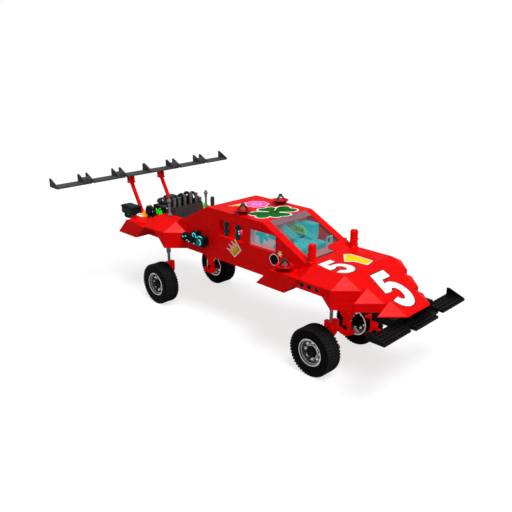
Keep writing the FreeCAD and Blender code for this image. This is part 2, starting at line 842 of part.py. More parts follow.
def leg(place, x, side, shift):
    """Strut, knuckle and axle pin of one wheel, made on the near side and mirrored for the far one."""
    inner = 4.0 - shift
    mid = inner - REACH[place]
    sleeve = rod(f"sleeve_{place}", "z", (f"{x}", f"-{mid}", "6.4"), "0.29", "sill - 6.4", 10)
    rod_low = rod(f"rod_{place}", "z", (f"{x}", f"-{mid}", "5.0"), "0.18", "1.4", 8)
    strut = joined(f"strut_{place}", [sleeve, rod_low])
    ear = prism(
        f"ear_{place}",
        "side",
        [
            (f"{x - 0.74}", "4.1"),
            (f"{x - 0.1}", "3.5"),
            (f"{x + 0.45}", "3.5"),
            (f"{x + 0.88}", "4.35"),
            (f"{x + 0.88}", "5.5"),
            (f"{x + 0.25}", "5.45"),
            (f"{x + 0.25}", "5.0"),
            (f"{x - 0.74}", "5.0"),
        ],
        f"-{mid + 0.22:.2f}",
        f"-{mid - 0.22:.2f}",
    )
    ear_hole = rod(f"ear_hole_{place}", "y", (f"{x + 0.42}", f"-{mid + 1}", "4.6"), "0.17", "2", 6)
    column = box(
        f"knuckle_column_{place}",
        (f"{x - 0.28}", f"-{mid + 0.22:.2f}", "2.0"),
        (f"{x + 0.28}", f"-{mid - 0.22:.2f}", "3.6"),
    )
    carrier = box(
        f"carrier_{place}",
        (f"{x - 0.42}", f"-{mid + 0.4:.2f}", "2.2"),
        (f"{x + 0.42}", f"-{mid - 0.1:.2f}", "3.3"),
    )
    claw = prism(
        f"claw_{place}",
        "side",
        [
            (f"{x - 1.05}", "2.35"),
            (f"{x - 1.05}", "2.0"),
            (f"{x - 0.4}", "1.75"),
            (f"{x + 0.4}", "1.75"),
            (f"{x + 1.1}", "2.2"),
            (f"{x + 1.1}", "2.55"),
            (f"{x + 0.4}", "2.25"),
            (f"{x - 0.4}", "2.25"),
        ],
        f"-{mid + 0.22:.2f}",
        f"-{mid - 0.3:.2f}",
    )
    pin_hole = rod(f"pin_hole_{place}", "y", (f"{x}", f"-{mid + 1}", "tyre_radius"), "axle_radius", "2", 8)
    whole = joined(f"knuckle_whole_{place}", [carrier, column, ear, claw])
    knuckle = cut(f"knuckle_{place}", whole, [ear_hole, pin_hole])
    shaft = rod(f"shaft_{place}", "y", (f"{x}", f"-{inner + 1.52:.2f}", "tyre_radius"), "axle_radius", "1.48")
    shank_length = f"{REACH[place] + 0.29:.2f}"
    shank_start = (f"{x}", f"-{inner + 0.04:.2f}", "tyre_radius")
    shank = rod(f"shank_{place}", "y", shank_start, "axle_radius", shank_length, 8)
    head = rod(f"head_{place}", "y", (f"{x}", f"-{inner + 1.63:.2f}", "tyre_radius"), "0.55", "0.12", 8)
    pin = joined(f"axle_pin_{place}", [shaft, shank, head])
    made = [strut, knuckle, pin]
    if side > 0:
        made = [mirrored("far_" + part.Name, part) for part in made]
    return made


legs = [leg(place, *where) for place, where in WHEELS.items()]
node(together("struts", [made[0] for made in legs]), "struts")
node(together("knuckles", [made[1] for made in legs]), "knuckles")
node(together("axle_pins", [made[2] for made in legs]), "axle_pins")

link_rod = rod("link_rod", "z", ("28.3", "2", "4.9"), "0.17", "sill - 4.9", 8)
link_plate = prism(
    "link_plate",
    "top",
    [("27.6", "1.2"), ("29.2", "1.6"), ("28.8", "2.8"), ("27.9", "2.9")],
    "4.75",
    "5.0",
)
link_block = box("link_block", ("28.0", "1.7", "3.5"), ("28.6", "2.3", "4.8"))
link_arms = [
    bar("link_arm_0", ("28.3", "2", "3.7"), ("28.0", "1.4", "2.9"), "0.16", 6),
    bar("link_arm_1", ("28.3", "2", "3.7"), ("28.9", "2.2", "3.2"), "0.16", 6),
    rod("link_ball_0", "z", ("28.0", "1.4", "2.7"), "0.27", "0.4", 8),
    rod("link_ball_1", "z", ("28.9", "2.2", "3.0"), "0.27", "0.4", 8),
]
node(joined("front_link", [link_rod, link_plate, link_block] + link_arms), "front_link")

# Wheels

LUGS = 26
SIDES = 2 * LUGS
RIM_SIDES = 20
ROOT = 2.5
SHOULDER = 0.92


def lug(name, row, step):
    """One tread lug, as wide as a side of the carcass; the two rows are half a step apart."""
    turn = 360.0 / LUGS * (step + 0.5 * row)
    width = 2 * ROOT * math.sin(math.pi / SIDES)
    depth = 0.3
    block = doc.addObject("Part::Box", name)
    block.setExpression("Length", span(f"{width:.5f}"))
    block.setExpression("Width", span(f"{SHOULDER}"))
    block.setExpression("Height", span(f"{depth}"))
    low = V(-value(span(f"{width:.5f}")) / 2, value(span(f"{(row - 1) * SHOULDER}")), 0)
    low.z = -value(span("tyre_radius"))
    spin = FreeCAD.Rotation(V(0, 1, 0), turn)
    block.Placement = FreeCAD.Placement(spin.multVec(low), spin)
    return block


def wheel_ring(name, low, high, radius, tip, sides):
    """A ring piece round the wheel's axis, from one place across to a higher one, flat side down."""
    return taper(name, "y", ("0", low, "0"), radius, tip, f"({high}) - ({low})", sides, 0.5, home=True)


carcass = [
    wheel_ring("near_shoulder", "-1", f"-{SHOULDER}", f"{ROOT - 0.3}", f"{ROOT}", SIDES),
    wheel_ring("tread", f"-{SHOULDER}", f"{SHOULDER}", f"{ROOT}", f"{ROOT}", SIDES),
    wheel_ring("far_shoulder", f"{SHOULDER}", "1", f"{ROOT}", f"{ROOT - 0.3}", SIDES),
]
treads = [lug(f"lug_{row}_{step}", row, step) for row in (0, 1) for step in range(LUGS)]
tyre_solid = joined("tyre_solid", carcass + treads)
tyre_room = wheel_ring("tyre_room", "-1.5", "1.5", "rim_radius", "rim_radius", RIM_SIDES)
tyre_whole = cut("tyre_whole", tyre_solid, [tyre_room])

rim_barrel = wheel_ring("rim_barrel", "-0.86", "0.86", "rim_radius", "rim_radius", RIM_SIDES)
rim_dish = wheel_ring("rim_dish", "-0.86", "-0.35", "1.36", "1.18", RIM_SIDES)
rim_back = wheel_ring("rim_back", "0.1", "0.86", "1.1", "1.3", RIM_SIDES // 2)
rim_hub = wheel_ring("rim_hub", "-0.5", "0.7", "0.6", "0.6", RIM_SIDES // 2)
rim_bore = rod("rim_bore", "y", ("0", "-1.5", "0"), "axle_radius + running_gap", "3", home=True)
rim_shell = cut("rim_shell", rim_barrel, [rim_dish, rim_back])
rim_whole = cut("rim_whole", joined("rim_solid", [rim_shell, rim_hub]), [rim_bore])

for place, (x, side, shift) in WHEELS.items():
    turn = FreeCAD.Rotation(V(0, 0, 1), 0 if side < 0 else 180)
    for label, whole in (("rim", rim_whole), ("tyre", tyre_whole)):
        copy = together(f"{label}_{place}", [whole])
        copy.Placement = FreeCAD.Placement(V(0, 0, 0), turn)
        copy.setExpression("Placement.Base.x", along(x))
        copy.setExpression("Placement.Base.y", span(f"{side * (5.0 - shift)}"))
        copy.setExpression("Placement.Base.z", span("tyre_radius"))
        node(copy, f"{label}_{place}")

# Check and export

doc.recompute()
for item in doc.Objects:
    if "Invalid" in item.State or "Error" in item.State:
        raise RuntimeError(f"{item.Label} is in state {item.State}")
os.makedirs("parts", exist_ok=True)
for item in nodes:
    if item.Shape.isNull() or not item.Shape.isValid():
        raise RuntimeError(f"{item.Label} has no valid shape")
    item.Shape.exportStep(f"parts/{item.Label}.step")
    bounds = item.Shape.BoundBox
    print(item.Label, len(item.Shape.Solids), round(item.Shape.Volume, 1), [round(v, 1) for v in (
        bounds.XMin, bounds.XMax, bounds.YMin, bounds.YMax, bounds.ZMin, bounds.ZMax)])
print("nodes", len(nodes))
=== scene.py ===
import json
import math

import bmesh
import bpy
from mathutils import Matrix, Vector


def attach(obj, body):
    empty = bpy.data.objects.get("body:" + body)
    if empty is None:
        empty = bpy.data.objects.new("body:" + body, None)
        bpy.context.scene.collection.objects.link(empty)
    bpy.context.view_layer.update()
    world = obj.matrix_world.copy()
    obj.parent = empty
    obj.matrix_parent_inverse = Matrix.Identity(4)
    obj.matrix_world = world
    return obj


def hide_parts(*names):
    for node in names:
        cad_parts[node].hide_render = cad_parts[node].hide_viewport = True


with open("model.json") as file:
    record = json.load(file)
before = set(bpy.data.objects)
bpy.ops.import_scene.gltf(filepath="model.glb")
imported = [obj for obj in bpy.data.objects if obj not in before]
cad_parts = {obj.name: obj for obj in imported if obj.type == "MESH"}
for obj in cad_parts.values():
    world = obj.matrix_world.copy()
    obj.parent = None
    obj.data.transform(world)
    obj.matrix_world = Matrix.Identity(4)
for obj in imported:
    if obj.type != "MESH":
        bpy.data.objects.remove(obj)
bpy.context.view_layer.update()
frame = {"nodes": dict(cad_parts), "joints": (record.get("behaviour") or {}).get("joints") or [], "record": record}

# Grid: places and sizes are counted in studs, from the rear axle, the centre line and the ground

STUD = 0.008
MM = 0.001
JOINTS = {joint["name"]: joint["pos_m"] for joint in frame["joints"]}
REAR_AXLE = JOINTS["roll_near_rear"][0]
PIVOT = Vector(JOINTS["tilt_rear_wing"])
ROLLS = [joint for joint in frame["joints"] if joint["name"].startswith("roll_")]
WHEELS = {joint["child"]: Vector(joint["pos_m"]) for joint in ROLLS}
NODES = frame["nodes"]
scene = bpy.context.scene
HALF_BODY = 4.0
SILL = 8.2
LEDGE = 10.2
DECK = 11.2
ROOF = 14.2


def at(x, y, z):
    """A place on the grid."""
    return Vector((REAR_AXLE + x * STUD, y * STUD, z * STUD))


def raised(studs):
    """The way straight up over so many studs."""
    return Vector((0, 0, studs * STUD))


def polar(radius, angle, height=0.0):
    """The way to a place round the z axis, with its angle in radians."""
    return Vector((radius * math.cos(angle), radius * math.sin(angle), height)) * STUD


def around(count, shift=0.0):
    """Evenly spaced angles of a full turn, moved on by a share of a step."""
    return [2 * math.pi * (i + shift) / count for i in range(count)]


# Nodes of materials

NOISE_RANGE = (0.3, 0.7)
CLOUD_SCALE = 55.0
SHEEN_SCALE = 240.0
GRAIN_DEPTH = 0.05 * MM
SHEEN_RANGE = (0.8, 1.25)


def feed(tree, node, sources):
    """Gives a node's sockets, by name or number, their values or other nodes' outputs."""
    for key, source in sources.items():
        if isinstance(source, bpy.types.NodeSocket):
            tree.links.new(source, node.inputs[key])
        else:
            node.inputs[key].default_value = source


def noise(tree, coords, scale, detail=3.0):
    """Clouds that stay with the object."""
    node = tree.nodes.new("ShaderNodeTexNoise")
    feed(tree, node, {"Vector": coords.outputs["Object"], "Scale": scale, "Detail": detail})
    return node.outputs["Fac"]


def ranged(tree, source, start, end, low, high):
    """The source between start and end, spread over the range from low to high."""
    node = tree.nodes.new("ShaderNodeMapRange")
    feed(tree, node, {"Value": source, "From Min": start, "From Max": end, "To Min": low, "To Max": high})
    return node.outputs["Result"]


def maths(tree, operation, first, second=0.0):
    """A sum or another operation on two numbers or outputs."""
    node = tree.nodes.new("ShaderNodeMath")
    node.operation = operation
    feed(tree, node, {0: first, 1: second})
    return node.outputs["Value"]


def mixed(tree, factor, first, second):
    """The first colour where the factor is none, and the second where it is one."""
    node = tree.nodes.new("ShaderNodeMix")
    node.data_type = "RGBA"
    feed(tree, node, {"Factor": factor, "A": first, "B": second})
    return node.outputs["Result"]


def place_axes(tree):
    """The x, y and z of a place on the object."""
    axes = tree.nodes.new("ShaderNodeSeparateXYZ")
    tree.links.new(tree.nodes.new("ShaderNodeTexCoord").outputs["Object"], axes.inputs["Vector"])
    return axes.outputs


def finish(
    name, colour, rough, metal=0.0, shade=0.05, bump=0.06, grain=700.0, gloss=0.12, alpha=1.0, glow=0.0
):
    """A surface with slight clouds in its colour, fine change in its gloss, and a moulded or worn grain."""
    mat = bpy.data.materials.new(name)
    mat.use_nodes = True
    tree = mat.node_tree
    coords = tree.nodes.new("ShaderNodeTexCoord")
    deep = (*[c * (1 - shade) for c in colour], 1)
    pale = (*[min(1.0, c * (1 + shade)) for c in colour], 1)
    clouds = ranged(tree, noise(tree, coords, CLOUD_SCALE), *NOISE_RANGE, 0.0, 1.0)
    glossy, dull = (min(1.0, rough * share) for share in SHEEN_RANGE)
    sheen = ranged(tree, noise(tree, coords, SHEEN_SCALE), *NOISE_RANGE, glossy, dull)
    relief = tree.nodes.new("ShaderNodeBump")
    bumps = noise(tree, coords, grain, 4.0)
    feed(tree, relief, {"Strength": bump, "Distance": GRAIN_DEPTH, "Height": bumps})
    surface = {
        "Base Color": mixed(tree, clouds, deep, pale),
        "Roughness": sheen,
        "Normal": relief.outputs["Normal"],
        "Metallic": metal,
        "Specular IOR Level": gloss,
        "Alpha": alpha,
    }
    # Painted light: with a glow, the surface shines in its own colour though it is no lamp
    if glow:
        surface |= {"Emission Color": (*colour, 1), "Emission Strength": glow}
    feed(tree, tree.nodes["Principled BSDF"], surface)
    return mat


# Materials

RED = (0.85, 0.001, 0.001)
red = finish("red_plastic", RED, 0.4, shade=0.03, gloss=0.06)
# Painted light: a copy of the red that glows, so that the knuckles, links, wing forks and niche linings show no
# shade
red_painted_light = finish("red_plastic_painted_light", RED, 0.4, shade=0.03, gloss=0.06, glow=0.3)
bowl_red_painted_shade = finish("bowl_plastic_painted_shade", RED, 0.4, shade=0.03, gloss=0.06)
# Painted light: the fender beams' red glows
beam_red_painted_light = finish("beam_plastic_painted_light", RED, 0.4, shade=0.03, gloss=0.06, glow=0.3)
seam_red = finish("seam_shadow", (0.25, 0.002, 0.002), 0.5)
black = finish("black_plastic", (0.004, 0.004, 0.0045), 0.35, shade=0.2)
dark = finish("dark_grey_plastic", (0.025, 0.042, 0.043), 0.4, shade=0.08)
darker = finish("charcoal_plastic", (0.009, 0.014, 0.015), 0.35, shade=0.15)
grey = finish("grey_plastic", (0.20, 0.22, 0.22), 0.4)
# Painted light: the struts' grey glows against the shadow under the fenders
strut_grey = finish("strut_grey_plastic", (0.12, 0.17, 0.17), 0.4, glow=0.25)
engine_grey = finish("engine_plastic", (0.05, 0.055, 0.057), 0.4, shade=0.08)
pipe_grey = finish("pipe_grey", (0.12, 0.14, 0.14), 0.4)
highlight_grey = finish("painted_highlight_grey", (0.38, 0.39, 0.39), 0.4)
wing_grey = finish("wing_grey_plastic", (0.055, 0.055, 0.055), 0.45, shade=0.06)
# Painted light: the dark teal glows, so that the tripods, spools and hooks show no shade
sea = finish("dark_teal_plastic", (0.001, 0.034, 0.036), 0.4, shade=0.15, glow=0.4)
navy = finish("dark_blue_plastic", (0.004, 0.010, 0.022), 0.35, shade=0.2)
teal = finish("clear_blue_plastic", (0.01, 0.42, 0.46), 0.3, alpha=0.8)
# Painted light: the pale blue and the clear plastic glow a little
cyan = finish("pale_blue_plastic", (0.05, 0.50, 0.55), 0.3, glow=0.2)
glass = finish(
    "clear_plastic", (0.40, 0.46, 0.48), 0.15, shade=0.02, bump=0.01, gloss=0.15, alpha=0.05, glow=0.05
)
lamp = finish("clear_red_plastic", (0.78, 0.12, 0.20), 0.15, gloss=0.5, alpha=0.85)
# Painted light: the niche lamps' crimson glows
crimson = finish("lit_crimson", (0.55, 0.015, 0.06), 0.15, gloss=0.5, glow=0.45)
lens = finish("lens_blue", (0.01, 0.15, 0.165), 0.12, gloss=0.5)
# Painted light: a blue that glows, for painted glints on the pods and the niche lamps, and for the lights of the
# nozzles and the engine
spark = finish("lit_blue", (0.01, 0.66, 0.70), 0.3, glow=0.9)
# Painted light: the chrome glows a little; a bright glowing copy paints highlights on the rims' beads and bosses,
# and a dark copy paints shade in their grooves
chrome = finish("chromed_plastic", (0.45, 0.45, 0.46), 0.2, metal=1.0, shade=0.1, bump=0.03, glow=0.04)
chrome_highlight = finish("chromed_painted_highlight", (0.90, 0.90, 0.91), 0.2, metal=1.0, shade=0.05, bump=0.03, glow=0.32)
chrome_shade = finish("chromed_painted_shade", (0.10, 0.10, 0.105), 0.35, metal=1.0, shade=0.1, bump=0.03)
tread = finish("tread_rubber", (0.010, 0.011, 0.011), 0.7, shade=0.2, bump=0.25, grain=1500.0, gloss=0.15)
sidewall = finish(
    "sidewall_rubber", (0.001, 0.001, 0.001), 0.4, shade=0.3, bump=0.15, grain=1500.0, gloss=0.08
)
white = finish("print_white", (0.95, 0.95, 0.95), 0.45, shade=0.02)
ink = finish("print_black", (0.0, 0.008, 0.009), 0.45, gloss=0.05)
leaf = finish("print_green", (0.001, 0.15, 0.001), 0.45, shade=0.15, gloss=0.04)
leaf_dark = finish("print_dark_green", (0.002, 0.03, 0.002), 0.45)
pink = finish("print_pink", (0.97, 0.10, 0.58), 0.45, shade=0.1, gloss=0.05)
pale_pink = finish("print_pale_pink", (0.98, 0.40, 0.76), 0.45)
yellow = finish("print_yellow", (1.0, 0.70, 0.0), 0.45, shade=0.06)
gold = finish("print_gold", (0.68, 0.42, 0.0), 0.45, shade=0.15, gloss=0.04)
old_gold = finish("print_old_gold", (0.20, 0.12, 0.0), 0.45)
pale_yellow = finish("print_pale_yellow", (0.95, 0.90, 0.42), 0.45)
# Painted light: the orange, neon green and lime plastics glow
orange = finish("orange_plastic", (0.95, 0.40, 0.0), 0.4, glow=0.2)
neon = finish("neon_green_plastic", (0.01, 0.80, 0.01), 0.4, glow=0.4)
lime = finish("lime_plastic", (0.19, 0.42, 0.09), 0.4, glow=0.4)

SLOTS = {
    "red": red, "black": black, "dark_grey": dark, "grey": grey, "teal": teal, "lamp_red": lamp,
    "glass": glass, "chrome": chrome, "tyre": tread,
}
# The knuckles and the front link take the red that glows with painted light
OWN_LOOK = {
    "pod_lenses": lens, "engine_block": engine_grey, "rear_wing": wing_grey, "knuckles": red_painted_light,
    "front_link": red_painted_light, "fender_beams": beam_red_painted_light, "tripods": sea, "niche_spools": sea,
    "tail_boxes": darker, "tail_nozzles": black, "air_cleaner": darker,
}
SLOT_OF = {part["node"]: part["material_slot"] for part in frame["record"]["subparts"]}
for name, thing in NODES.items():
    thing.data.materials.clear()
    thing.data.materials.append(OWN_LOOK.get(name, SLOTS[SLOT_OF[name]]))


def recoloured(material, factor, first=None, second=None):
    """The material's colour becomes a mix with another colour, which is given as its first or second end."""
    tree = material.node_tree
    base = tree.nodes["Principled BSDF"].inputs["Base Color"]
    own = base.links[0].from_socket
    result = mixed(tree, factor, first or own, second or own)
    tree.links.new(result, base)
    return result


# Painted shade: the engine's sides turn to dark teal towards the deck

ENGINE_PAINTED_SHADE = (0.0, 0.075, 0.08, 1)
tree = engine_grey.node_tree
height = ranged(tree, place_axes(tree)["Z"], 10.4 * STUD, 11.6 * STUD, 0.0, 1.0)
recoloured(engine_grey, height, first=ENGINE_PAINTED_SHADE)

# Painted shade: the walls of the beams' round holes are dark teal; the beams glow with painted light, in the same
# colours

FIRST_HOLE = REAR_AXLE + 24 * STUD
HOLE_HEIGHT = (SILL + 1.1) * STUD
HOLE_EDGE = 2.5 * MM
HOLE_PAINTED_SHADE = (0.0, 0.05, 0.055, 1)
tree = beam_red_painted_light.node_tree
axes = place_axes(tree)
along = maths(tree, "SUBTRACT", axes["X"], FIRST_HOLE)
aside = maths(tree, "PINGPONG", along, STUD / 2)
above = maths(tree, "SUBTRACT", axes["Z"], HOLE_HEIGHT)
squares = maths(tree, "ADD", maths(tree, "MULTIPLY", aside, aside), maths(tree, "MULTIPLY", above, above))
hole_shade_mask = maths(tree, "LESS_THAN", maths(tree, "SQRT", squares), HOLE_EDGE)
from_first = maths(tree, "GREATER_THAN", along, -STUD / 2)
beam_colour_with_hole_shade = recoloured(beam_red_painted_light, maths(tree, "MULTIPLY", hole_shade_mask, from_first), second=HOLE_PAINTED_SHADE)
tree.links.new(beam_colour_with_hole_shade, tree.nodes["Principled BSDF"].inputs["Emission Color"])

# Painted shade: the bowls are darker where they face down

BOWL_PAINTED_SHADE = (0.16, 0.0, 0.0, 1)
tree = bowl_red_painted_shade.node_tree
facing = tree.nodes.new("ShaderNodeSeparateXYZ")
tree.links.new(tree.nodes.new("ShaderNodeNewGeometry").outputs["Normal"], facing.inputs["Vector"])
recoloured(bowl_red_painted_shade, maths(tree, "LESS_THAN", facing.outputs["Z"], -0.1), second=BOWL_PAINTED_SHADE)

# Moulded edges of the flat-sided bricks, in millimetres

ROUNDED = {
    "right_wall": 0.12, "left_wall": 0.12, "hood": 0.12, "nose": 0.12, "rear_fenders": 0.12,
    "front_fenders": 0.12, "sponsons": 0.12, "tail_pods": 0.12, "knuckles": 0.12, "rear_wing": 0.08,
    "front_wing": 0.08, "tripods": 0.1, "tail_boxes": 0.2, "engine_block": 0.25,
}
CORNER_ANGLE = math.radians(25)
for name, width in ROUNDED.items():
    edge = NODES[name].modifiers.new("moulded_edge", "BEVEL")
    edge.width = width * MM
    edge.segments = 2
    edge.limit_method = "ANGLE"
    edge.angle_limit = CORNER_ANGLE

# Making pieces

SHARP_ANGLE = math.radians(35)


def placed(name, data):
    """A new object in the scene."""
    thing = bpy.data.objects.new(name, data)
    scene.collection.objects.link(thing)
    return thing


def piece(name, bm, look, smooth=True, body="car"):
    """A new object from a mesh in the making, which rides on a body."""
    bmesh.ops.recalc_face_normals(bm, faces=bm.faces)
    mesh = bpy.data.meshes.new(name)
    bm.to_mesh(mesh)
    bm.free()
    if smooth:
        mesh.shade_smooth()
        mesh.set_sharp_from_angle(angle=SHARP_ANGLE)
    thing = placed(name, mesh)
    mesh.materials.append(look)
    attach(thing, body)
    return thing


def turn_to(way):
    """The turn that takes the z axis to a direction."""
    return Vector((0, 0, 1)).rotation_difference(Vector(way)).to_matrix()


UP = turn_to((0, 0, 1))
AHEAD = turn_to((1, 0, 0))


def box(bm, middle, size):
    """A box about its middle."""
    bmesh.ops.create_cube(bm, size=1.0, matrix=Matrix.Translation(middle) @ Matrix.Diagonal((*size, 1)))


def block(bm, low, high):
    """A box between two corners of the grid."""
    a, b = at(*low), at(*high)
    box(bm, (a + b) / 2, [abs(side) for side in b - a])


def blocks(name, corners, look):
    """A piece of boxes between pairs of corners."""
    bm = bmesh.new()
    for low, high in corners:
        block(bm, low, high)
    piece(name, bm, look, smooth=False)


def both_sides(corners):
    """The same pairs of corners on the near side and on the far side."""
    return [[(x, y * side, z) for x, y, z in ends] for side in (-1, 1) for ends in corners]


def tube(bm, foot, tip, radius, end=None, sides=20):
    """A closed round bar or cone between two places."""
    run = tip - foot
    bmesh.ops.create_cone(
        bm,
        cap_ends=True,
        segments=sides,
        radius1=radius * STUD,
        radius2=(radius if end is None else end) * STUD,
        depth=run.length,
        matrix=Matrix.Translation((foot + tip) / 2) @ turn_to(run).to_4x4(),
    )


def bars(bm, centre, turn, angles, reach, heights, radius, end=None, sides=16):
    """Round bars or cones along the z axis of a turn, one at each angle."""
    low, high = heights
    for angle in angles:
        foot = centre + turn @ polar(reach, angle, low)
        tube(bm, foot, centre + turn @ polar(reach, angle, high), radius, end, sides)


def skin(bm, rows, closed=False):
    """Faces between round rows of vertices, with caps at both ends unless the last row meets the first."""
    count = len(rows[0])
    faces = []
    for low, high in zip(rows, rows[1:] + (rows[:1] if closed else [])):
        for i in range(count):
            j = (i + 1) % count
            faces.append(bm.faces.new((low[i], low[j], high[j], high[i])))
    if not closed:
        bm.faces.new(rows[0][::-1])
        bm.faces.new(rows[-1])
    return faces


def round_row(bm, centre, turn, radii, height):
    """A row of vertices about the z axis of a turn, each with its own radius."""
    return [bm.verts.new(centre + turn @ polar(r, a, height)) for r, a in zip(radii, around(len(radii)))]


def lathe(bm, centre, turn, profile, steps=48, closed=False):
    """A round body about the z axis of a turn, from (radius, height) pairs."""
    rows = [round_row(bm, centre, turn, [radius] * steps, height) for radius, height in profile]
    return skin(bm, rows, closed)


def ring(bm, centre, turn, radius, thick, start=0.0, end=360.0, steps=40, sides=10):
    """A round bar bent about the z axis of a turn: a full ring, or an arc with closed ends."""
    whole = end - start >= 360
    rows = []
    for i in range(steps if whole else steps + 1):
        a = math.radians(start + (end - start) * i / steps)
        spots = [polar(radius + thick * math.cos(b), a, thick * math.sin(b)) for b in around(sides)]
        rows.append([bm.verts.new(centre + turn @ spot) for spot in spots])
    skin(bm, rows, whole)


def pipe(bm, places, radii, sides=14):
    """A round pipe through a list of places, with a radius for each."""
    rows = []
    side = (places[1] - places[0]).orthogonal()
    for i, spot in enumerate(places):
        run = (places[min(len(places) - 1, i + 1)] - places[max(0, i - 1)]).normalized()
        side = (side - run * side.dot(run)).normalized()
        other = run.cross(side)
        ways = [side * math.cos(b) + other * math.sin(b) for b in around(sides)]
        rows.append([bm.verts.new(spot + way * radii[i] * STUD) for way in ways])
    skin(bm, rows)


def ball(bm, centre, radius, rings=6):
    """A ball, small ones with few facets."""
    bmesh.ops.create_uvsphere(
        bm, u_segments=2 * rings, v_segments=rings, radius=radius * STUD, matrix=Matrix.Translation(centre)
    )


# Prints: flat shapes on the faces of the car, with heights in millimetres

PRINT_STEP = 0.003


class Plane:
    """A flat face of the car: a corner, two directions that each run one stud, and the way out."""

    def __init__(self, corner, across, up):
        self.corner = corner
        self.across = Vector(across) * STUD
        self.up = Vector(up) * STUD
        self.out = self.across.cross(self.up).normalized()

    def spot(self, a, b, lift):
        return self.corner + self.across * a + self.up * b + self.out * (lift * MM)


HOOD = Plane(at(0, 0, DECK), (1, 0, 0), (0, 1, 0))
TOP = Plane(at(0, 0, ROOF), (1, 0, 0), (0, 1, 0))
NOSE_START = 28.5
NOSE = Plane(at(NOSE_START, 0, DECK), (1, 0, -0.5), (0, 1, 0))
CHAMFER = Plane(at(NOSE_START, -6, 0), (1, 1, 0), (0, 0, 1))
SIDE = Plane(at(0, -HALF_BODY, 0), (1, 0, 0), (0, 0, 1))
LEFT = Plane(at(0, HALF_BODY, 0), (-1, 0, 0), (0, 0, 1))
SCREEN = Plane(at(17.5, 0, ROOF), (1, 0, -0.5), (0, 1, 0))


def turned_area(outline):
    """Twice the outline's area, negative where its points run clockwise."""
    return sum(p[0] * q[1] - q[0] * p[1] for p, q in zip(outline, outline[1:] + outline[:1]))


def slab(bm, plane, outline, low, high):
    """A thin plate with any convex outline, between two heights over a plane."""
    points = outline if turned_area(outline) > 0 else outline[::-1]
    bottom = [bm.verts.new(plane.spot(a, b, low)) for a, b in points]
    top = [bm.verts.new(plane.spot(a, b, high)) for a, b in points]
    caps = [bm.faces.new(top), bm.faces.new(bottom[::-1])]
    for i in range(len(points)):
        j = (i + 1) % len(points)
        bm.faces.new((bottom[i], bottom[j], top[j], top[i]))
    bmesh.ops.triangulate(bm, faces=caps)


def print_on(name, plane, outlines, high, look, low=0.0):
    """Flat shapes on a face; each lies a hair above the one before, where they overlap."""
    bm = bmesh.new()
    for i, outline in enumerate(outlines):
        slab(bm, plane, outline, low, high + PRINT_STEP * (i % 8))
    piece(name, bm, look, smooth=False)


def grown(outline, margin):
    """The outline moved outwards by a margin all round, with its sharp corners cut short."""
    way = 1 if turned_area(outline) > 0 else -1
    result = []
    count = len(outline)
    for i in range(count):
        p, q, r = (Vector(outline[(i + k) % count]) for k in (-1, 0, 1))
        first = (q - p).normalized()
        second = (r - q).normalized()
        normal = Vector((first.y + second.y, -first.x - second.x)).normalized() * way
        flat = Vector((first.y, -first.x)) * way
        stretch = min(1.6, 1 / max(0.3, normal.dot(flat)))
        moved = q + normal * margin * stretch
        result.append((moved.x, moved.y))
    return result


def bordered(name, plane, outlines, margin, heights, look, tips=(), middle=()):
    """A print over a wider white border; the tips belong to the border, and the middle to the print."""
    border, high = heights
    wider = [grown(outline, margin) for outline in outlines]
    print_on(name + "_rim", plane, wider + list(tips), border, white)
    print_on(name, plane, outlines + list(middle), high, look)


def arc(centre, radii, start, end, steps):
    """Points along a part of an ellipse, with its angles in degrees."""
    points = []
    for i in range(steps + 1):
        angle = math.radians(start + (end - start) * i / steps)
        points.append((centre[0] + radii[0] * math.cos(angle), centre[1] + radii[1] * math.sin(angle)))
    return points


def circle(centre, radius, steps=36):
    """The outline of a disc."""
    return arc(centre, (radius, radius), 0, 360 - 360 / steps, steps - 1)


def swung(centre, degrees, along, across=0.0):
    """The spot that lies so far along and across a direction from a centre."""
    c, s = math.cos(math.radians(degrees)), math.sin(math.radians(degrees))
    return (centre[0] + along * c - across * s, centre[1] + along * s + across * c)


def spike(centre, degrees, length, half_width):
    """A narrow triangle that points away from a centre."""
    base = [swung(centre, degrees, 0.0, half_width), swung(centre, degrees, 0.0, -half_width)]
    return base + [swung(centre, degrees, length)]


# The race number: a stem, a bar and a bowl, in a figure 183 wide and 260 high

FIGURE_HEIGHT = 260
STEM = [(4, 127), (52, 121), (80, 208), (82, 260), (30, 260)]
BAR = [(74, 208), (165, 208), (165, 260), (74, 260)]
BOWL_STEPS = 28


def race_number(name, plane, bottom, left, size):
    """The figure lies with its top towards the rear, to be read from the front."""
    k = size / FIGURE_HEIGHT
    layers = (("_rim", 0.08 / k, 0.05, ink, "black"), ("", 0.0, 0.10, white, "grey"))
    for word, margin, high, look, slot in layers:
        shapes = [grown(shape, margin) for shape in (STEM, BAR)]
        extra = margin / 1.4
        outer = arc((92, 92), (91 + margin, 92 + margin), 126 + extra * 0.5, -167 - extra, BOWL_STEPS)
        inner = arc((90, 97), (33 - margin, 42 - margin), 146 + extra * 0.5, -158 - extra, BOWL_STEPS)
        shapes += [[outer[i], outer[i + 1], inner[i + 1], inner[i]] for i in range(BOWL_STEPS)]
        laid = [[(bottom - v * k, left + u * k) for u, v in shape] for shape in shapes]
        print_on(name + word, plane, laid, high, look)


race_number("number_small", HOOD, 28.42, -3.88, 3.68)
race_number("number_large", NOSE, 33.8 - NOSE_START, -1.68, 4.3)

# A clover, a flower and its stalk on the roof

CLOVER = (15.45, -0.05)
LEAVES = [(84, 2.75, 2.6), (170, 2.0, 2.2), (262, 2.9, 2.6), (340, 2.1, 2.4)]
FLOWER = (11.65, 1.0)
PETALS = [360 * i / 7 for i in range(7)]
STALK = [(10.25, 0.35), (11.15, 0.2), (10.75, -0.75), (10.0, -1.9)]


